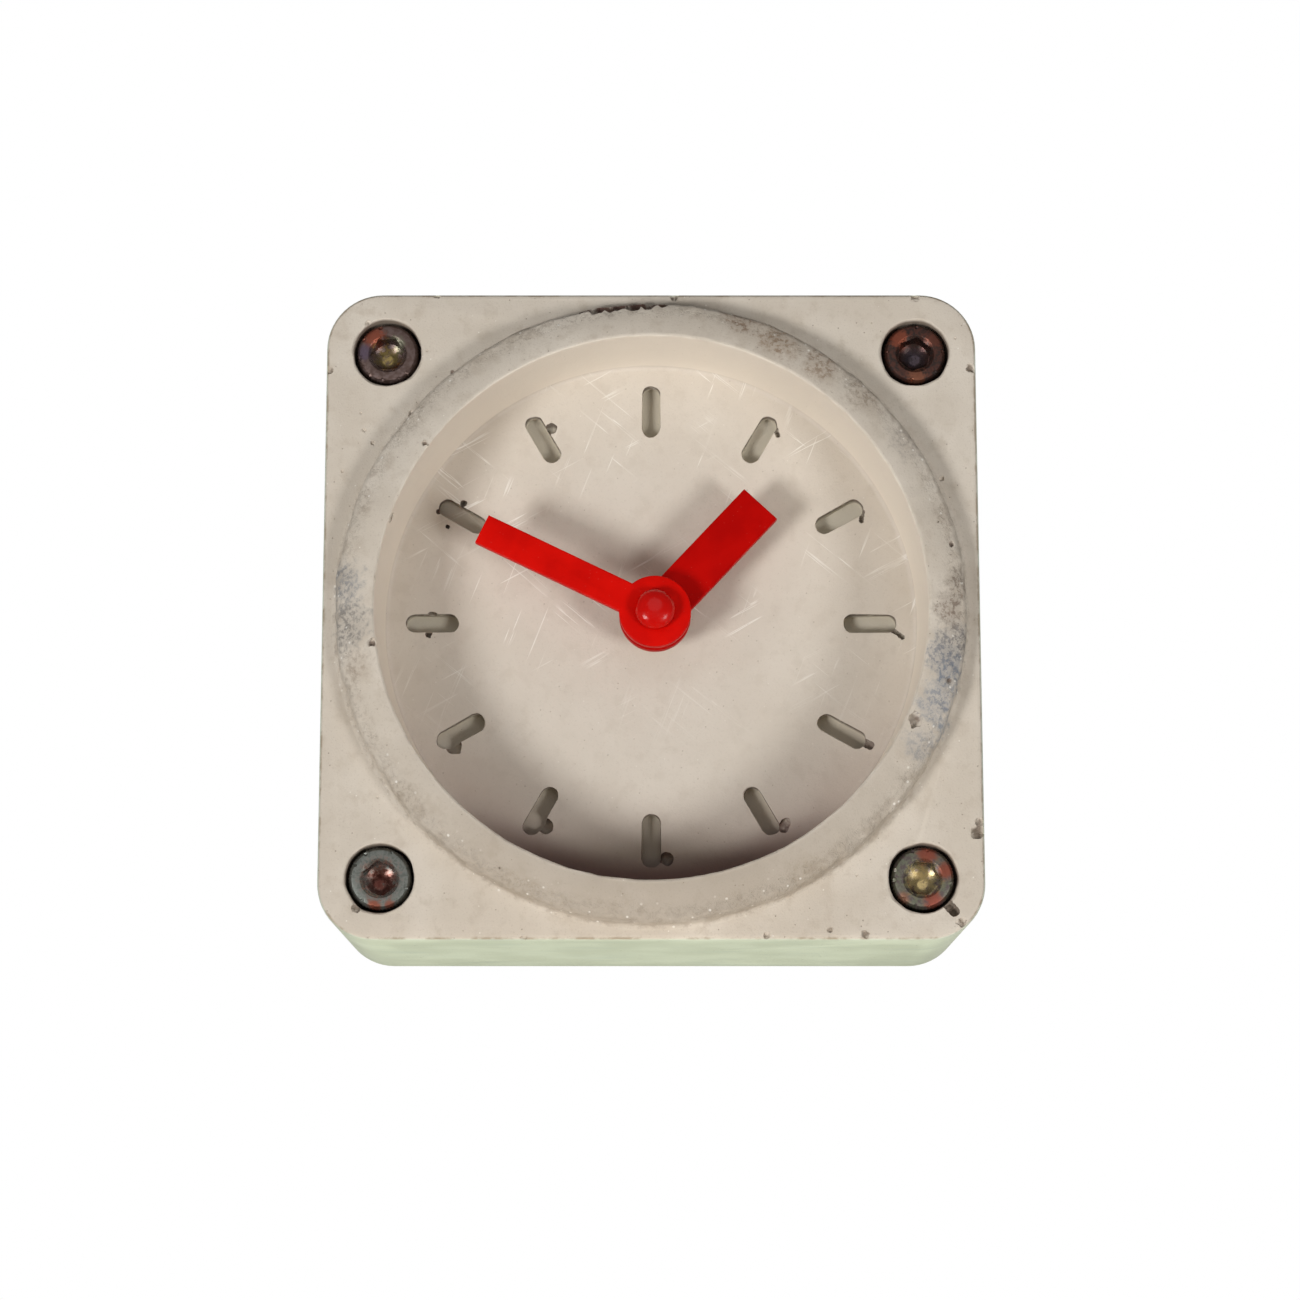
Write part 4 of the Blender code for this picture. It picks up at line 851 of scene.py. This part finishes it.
red_acrylic = red("red acrylic sheet", "#da0b02", "#cb0701", 0.42, 0.06)
red_dark = red("red acrylic sheet in shade", "#bd0400", "#b00200", 0.42, 0.06)
red_gloss = red("polished red acrylic", "#cf0b04", "#c30803", 0.12, 0.35)
HUB = 11.5 * MM


def hand(name, length, width, degrees, bore):
    front, back = depths(name)
    blade = slab(width, length, front, back)
    shifted(blade, 0, length / 2)
    hub = disc(HUB, front, back, 96)
    shape = combined(hub, [blade], "UNION")
    shape = combined(shape, [disc(bore, front - MM, back + MM, 32)], "DIFFERENCE")
    bmesh.ops.dissolve_limit(shape, angle_limit=math.radians(0.5), verts=shape.verts, edges=shape.edges)
    round_edges(shape, rims(shape, front) + rims(shape, back), 0.22 * MM, 3)
    turn = Matrix.Rotation(math.radians(degrees), 3, "Y")
    bmesh.ops.rotate(shape, verts=shape.verts, cent=(0, 0, 0), matrix=turn)
    return shape


hour = hand("hour_hand", 25.0 * MM, 7.2 * MM, 43.0, 5.9 * MM)
piece("hour_hand_sawn", hour, "hour_hand_and_wheel", red_dark, "red_plastic", HAND_X, nodes=["hour_hand"])
minute = hand("minute_hand", 30.8 * MM, 4.9 * MM, 295.9, 3.7 * MM)
piece("minute_hand_sawn", minute, "minute_hand_and_arbor", red_acrylic, "red_plastic", HAND_X, nodes=["minute_hand"])
front, back = depths("hand_cap")
cap_radius = (cap_high.x - cap_low.x) / 2
dome_height = (back - front) * 0.62
dome = [(0, back), (cap_radius - 0.15 * MM, back), (cap_radius, back - 0.15 * MM)]
for step in range(17):
    angle = math.pi / 2 * step / 16
    dome.append((cap_radius * math.cos(angle), front + dome_height * (1 - math.sin(angle))))
dome[-1] = (0, front)
piece("hand_cap_domed", turned(dome, 96), "minute_hand_and_arbor", red_gloss, "red_cap", HAND_X, nodes=["hand_cap"])
print(f"hands {depths('minute_hand')[1] / MM:.1f} mm and {depths('hour_hand')[1] / MM:.1f} mm back at their backs")

# %% [markdown]
# ## Screws
# Four socket-head screws run through the casting. Each head has a knurled side and a hexagonal socket that
# was drilled first, so it ends in a cone. The plating has gone in different ways: one is brown with rust,
# one red with it, one still grey and one yellow with old lacquer. The thread is drawn as rings, not as a
# helix, which shows no difference at this size.

# %% Screw shapes
HEAD = 10 * MM
THREAD = 5.9 * MM


def screw(name, seed):
    front, tip = depths(name)
    head, thread, under = HEAD / 2, THREAD / 2, front + 6 * MM
    profile = [(0, front), (head - 0.9 * MM, front), (head - 0.55 * MM, front + 0.08 * MM)]
    profile += [(head - 0.12 * MM, front + 0.5 * MM), (head, front + 0.9 * MM), (head, under - 0.3 * MM)]
    profile += [(head - 0.3 * MM, under), (thread, under)]
    depth = under + 0.5 * MM
    while depth < tip - 1.2 * MM:
        profile += [(thread - 0.5 * MM, depth), (thread, depth + 0.5 * MM)]
        depth += MM
    profile += [(thread - 0.5 * MM, depth), (thread - 0.5 * MM, tip), (0, tip)]
    shape = turned(profile, 112)
    for vert in shape.verts:
        radius = math.hypot(vert.co.x, vert.co.z)
        if radius > head - 0.45 * MM and vert.co.y < under - 0.2 * MM:
            tooth = round(math.atan2(vert.co.x, vert.co.z) / math.tau * 112) % 2
            vert.co.x *= 1 - 0.03 * tooth
            vert.co.z *= 1 - 0.03 * tooth
    socket = disc(5 * MM / math.cos(math.pi / 6), front - MM, front + 3 * MM, 6, turn=math.radians(seed * 17))
    wide = 2.62 * MM
    lead = [(wide + 0.6 * MM, front - 0.1 * MM), (wide + 0.55 * MM, front), (wide - 0.3 * MM, front + 0.6 * MM)]
    lead = turned([(0, front - 0.1 * MM), *lead, (0, front + 0.6 * MM)], 64)
    drill = turned([(0, front), (2.4 * MM, front), (2.4 * MM, front + 3 * MM), (0, front + 4.4 * MM)], 48)
    nicks = []
    random.seed(seed)
    for index in range(14):
        angle, radius = random.uniform(0, math.tau), random.uniform(0.2, 0.5) * MM
        spot = Vector((math.sin(angle) * 4.55 * MM, front, math.cos(angle) * 4.55 * MM))
        if all((spot - other).length > 1.1 * MM for other, _ in nicks):
            nicks.append((spot, bubble(spot, radius, seed + index, detail=2, rough=0.4)))
    cuts = [socket, lead, drill, together([ball for _, ball in nicks])]
    shape = combined(shape, cuts, "DIFFERENCE")
    return shape


# %% [markdown]
# Each screw gets its own finish: a steel colour, then rust and old lacquer in ragged patches. A patch is
# (x and z from the screw's middle in mm, size in mm, colour, strength).

# %% Screw finishes


def rusty(name, where, steel, spots, roughness, metallic):
    made, tree, shader, place = start_material(name, roughness, metallic)
    edge = grain(tree, place, 0.7, 4, 0.65)
    fine = grain(tree, place, 0.18, 3, 0.7)
    shade = blended(tree, fade(tree, edge, 0.42, 0.62), steel[0], steel[1])
    centre = Vector((where.x, 0, where.z - CENTRE_Z)) / MM
    for x, z, size, paint, strength in spots:
        shade = patch(tree, shade, place, edge, centre + Vector((x, 0.6, z)), size, paint, strength, (1, 0.35, 1))
    shade = blended(tree, sum_of(tree, "MULTIPLY", fade(tree, fine, 0.62, 0.78), 0.35), shade, "#2a211d")
    tree.links.new(shade, shader.inputs["Base Color"])
    span = {"Value": edge, "From Min": 0.35, "From Max": 0.65}
    ends = {"To Min": roughness - 0.12, "To Max": roughness + 0.2}
    outside = add(tree, "ShaderNodeMapRange", {**span, **ends}).outputs["Result"]
    reach = away_from(tree, place, centre, (1, 0, 1))
    inside = fade(tree, reach, 3.2, 2.8)
    smooth = sum_of(tree, "SUBTRACT", outside, sum_of(tree, "MULTIPLY", inside, 0.27))
    tree.links.new(smooth, shader.inputs["Roughness"])
    relief = sum_of(tree, "SUBTRACT", 0.03, sum_of(tree, "MULTIPLY", inside, 0.027))
    bumped(tree, shader, sum_of(tree, "MULTIPLY", fine, relief))
    return made


RUST = {
    "top_left": (
        ("#6a5750", "#7b6a66"),
        ((-2.3, 2.9, 2.2, "#9c5540", 0.9), (-4.0, 0.2, 1.6, "#6d5f74", 0.7), (0, 0, 2.5, "#c0a865", 0.9), (1.4, 1.6, 1.6, "#8b8d78", 0.8)),
    ),
    "top_right": (
        ("#5f4038", "#3f3532"),
        ((-2.6, 2.6, 2.0, "#96523d", 0.85), (3.2, 2.4, 1.8, "#7b4a3c", 0.7), (0, 0, 2.5, "#57505a", 0.9), (0.3, -3.9, 1.8, "#8f5c46", 0.8)),
    ),
    "bottom_left": (
        ("#8b8e88", "#70736e"),
        ((0.0, 0.0, 3.4, "#96594a", 0.85), (0, 0, 2.5, "#5e2f28", 0.9), (-0.8, -4.4, 1.4, "#95533e", 0.9), (1.6, -4.2, 1.0, "#95533e", 0.8)),
    ),
    "bottom_right": (
        ("#7d7f6e", "#6b5f5e"),
        ((0, 0, 3.0, "#ecd193", 0.95), (0.8, 3.9, 2.0, "#9c5442", 0.9), (3.6, 1.2, 1.7, "#9c5442", 0.9), (1.6, -3.6, 1.9, "#a05646", 0.9), (-3.2, -3.2, 1.3, "#a3705a", 0.7)),
    ),
}
for index, (name, where) in enumerate(screw_places.items()):
    steel, spots = RUST[name]
    finish = rusty(f"{name} screw steel", where, steel, spots, 0.42, 0.85)
    shape = screw(f"screw_{name}", index + 2)
    piece(f"screw_{name}_worn", shape, "clock_case", finish, "screw_steel", where.x, where.z - CENTRE_Z, 30, [f"screw_{name}"])
print("4 screws, each with its own wear")

# %% [markdown]
# ## Behind: nuts, washers and the steel plate
# A nut is a hexagon whose corners were turned off, so it is the part that a hexagon and a turned shape have
# in common. The steel plate closes the hollow around the movement; its cut edges are just broken.

# %% Nuts, washers, back plate


def nut(name):
    front, back = depths(name)
    hexagon = disc(10 * MM / math.cos(math.pi / 6), front, back, 6)
    corner, drop = 5.85 * MM, 0.55 * MM
    outline = [(0, front), (5.0 * MM, front), (corner, front + drop), (corner, back - drop), (5.0 * MM, back), (0, back)]
    shape = combined(hexagon, [turned(outline, 72)], "INTERSECT")
    bore = [(0, front - MM), (3.4 * MM, front - MM), (3.4 * MM, front + 0.05 * MM), (3.2 * MM, front + 0.3 * MM)]
    bore += [(3.2 * MM, back - 0.3 * MM), (3.4 * MM, back - 0.05 * MM), (3.4 * MM, back + MM), (0, back + MM)]
    return combined(shape, [turned(bore, 48)], "DIFFERENCE")


def washer(name):
    front, back = depths(name)
    low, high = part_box(name)
    outer, inner, edge = (high.x - low.x) / 2, 3.2 * MM, 0.12 * MM
    outline = [(inner, front), (outer - edge, front), (outer, front + edge), (outer, back - edge)]
    return turned(outline + [(outer - edge, back), (inner, back)], 72, ring=True)


for name in CORNERS:
    for kind, shape in (("nut", nut(f"nut_{name}")), ("washer", washer(f"washer_{name}"))):
        at = middle(f"{kind}_{name}")
        node = f"{kind}_{name}"
        finish = FINISHES["zinc_steel"]
        piece(f"{node}_turned", shape, "clock_case", finish, "zinc_steel", at.x, at.z - CENTRE_Z, 30, [node])
front, back = depths("back_plate")
low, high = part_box("back_plate")
plate = slab(high.x - low.x, high.z - low.z, front, back, corner=5.7 * MM)
window = slab(53 * MM, 53 * MM, front - MM, back + MM, corner=3 * MM)
holes = [shifted(disc(6.6 * MM, front - MM, back + MM, 32), p.x, p.z - CENTRE_Z) for p in screw_places.values()]
plate = combined(plate, [shifted(window, HAND_X), together(holes)], "DIFFERENCE")
bmesh.ops.dissolve_limit(plate, angle_limit=math.radians(0.5), verts=plate.verts, edges=plate.edges)
round_edges(plate, rims(plate, front) + rims(plate, back), 0.15 * MM, 2)
piece("back_plate_sheared", plate, "clock_case", FINISHES["painted_plate"], "painted_plate", nodes=["back_plate"])
print("nuts, washers and the plate stand in their places")

# %% [markdown]
# ## The pieces that keep their shape
# The movement's parts keep the shapes they came with. Each gets the finish of its own material slot.

# %% Finish the nodes that stay
battery, tree, shader, place = start_material("printed battery sleeve", 0.3)
along = add(tree, "ShaderNodeSeparateXYZ", {0: place}).outputs["X"]
scuff = grain(tree, place, 1.5, 4, 0.6)
shade = blended(tree, fade(tree, along, 9.0, 9.2), "#2c5c84", "#b98a4a")
shade = blended(tree, sum_of(tree, "MULTIPLY", fade(tree, scuff, 0.55, 0.7), 0.25), shade, "#1c2a33")
ends = sum_of(tree, "MAXIMUM", fade(tree, along, -24.0, -24.1), fade(tree, along, 24.4, 24.5))
shade = blended(tree, ends, shade, "#b4b2ab")
tree.links.new(shade, shader.inputs["Base Color"])
tree.links.new(ends, shader.inputs["Metallic"])
bumped(tree, shader, sum_of(tree, "MULTIPLY", scuff, 0.01))
FINISHES["battery_sleeve"] = battery
replaced = {"case", "hour_hand", "minute_hand", "hand_cap", "back_plate"}
replaced |= {f"{kind}_{name}" for kind in ("screw", "nut", "washer") for name in CORNERS}
node_slots = {
    "movement_gasket": "foam",
    "dial_washer": "rubber",
    "movement_housing": "black_plastic",
    "movement_cover": "grey_plastic",
    "threaded_bush": "brass",
    "battery": "battery_sleeve",
    "contact_negative": "spring_steel",
    "contact_positive": "spring_steel",
    "quartz_crystal": "spring_steel",
    "circuit_board": "board",
    "stator": "zinc_steel",
    "coil": "copper",
    "rotor_magnet": "ferrite",
    "set_knob": "knob_plastic",
}
for name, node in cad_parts.items():
    if name in replaced:
        continue
    slot_name = node_slots.get(name, "white_plastic")
    node.data.materials.clear()
    node.data.materials.append(FINISHES[slot_name])
print(f"{len(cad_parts) - len(replaced)} nodes keep their shape")

# %% [markdown]
# ## The finished size
# The box that the finished clock fills is worked out. The finished clock has to fill
# the same box as the frame.

# %% Sizes and the end
low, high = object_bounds()
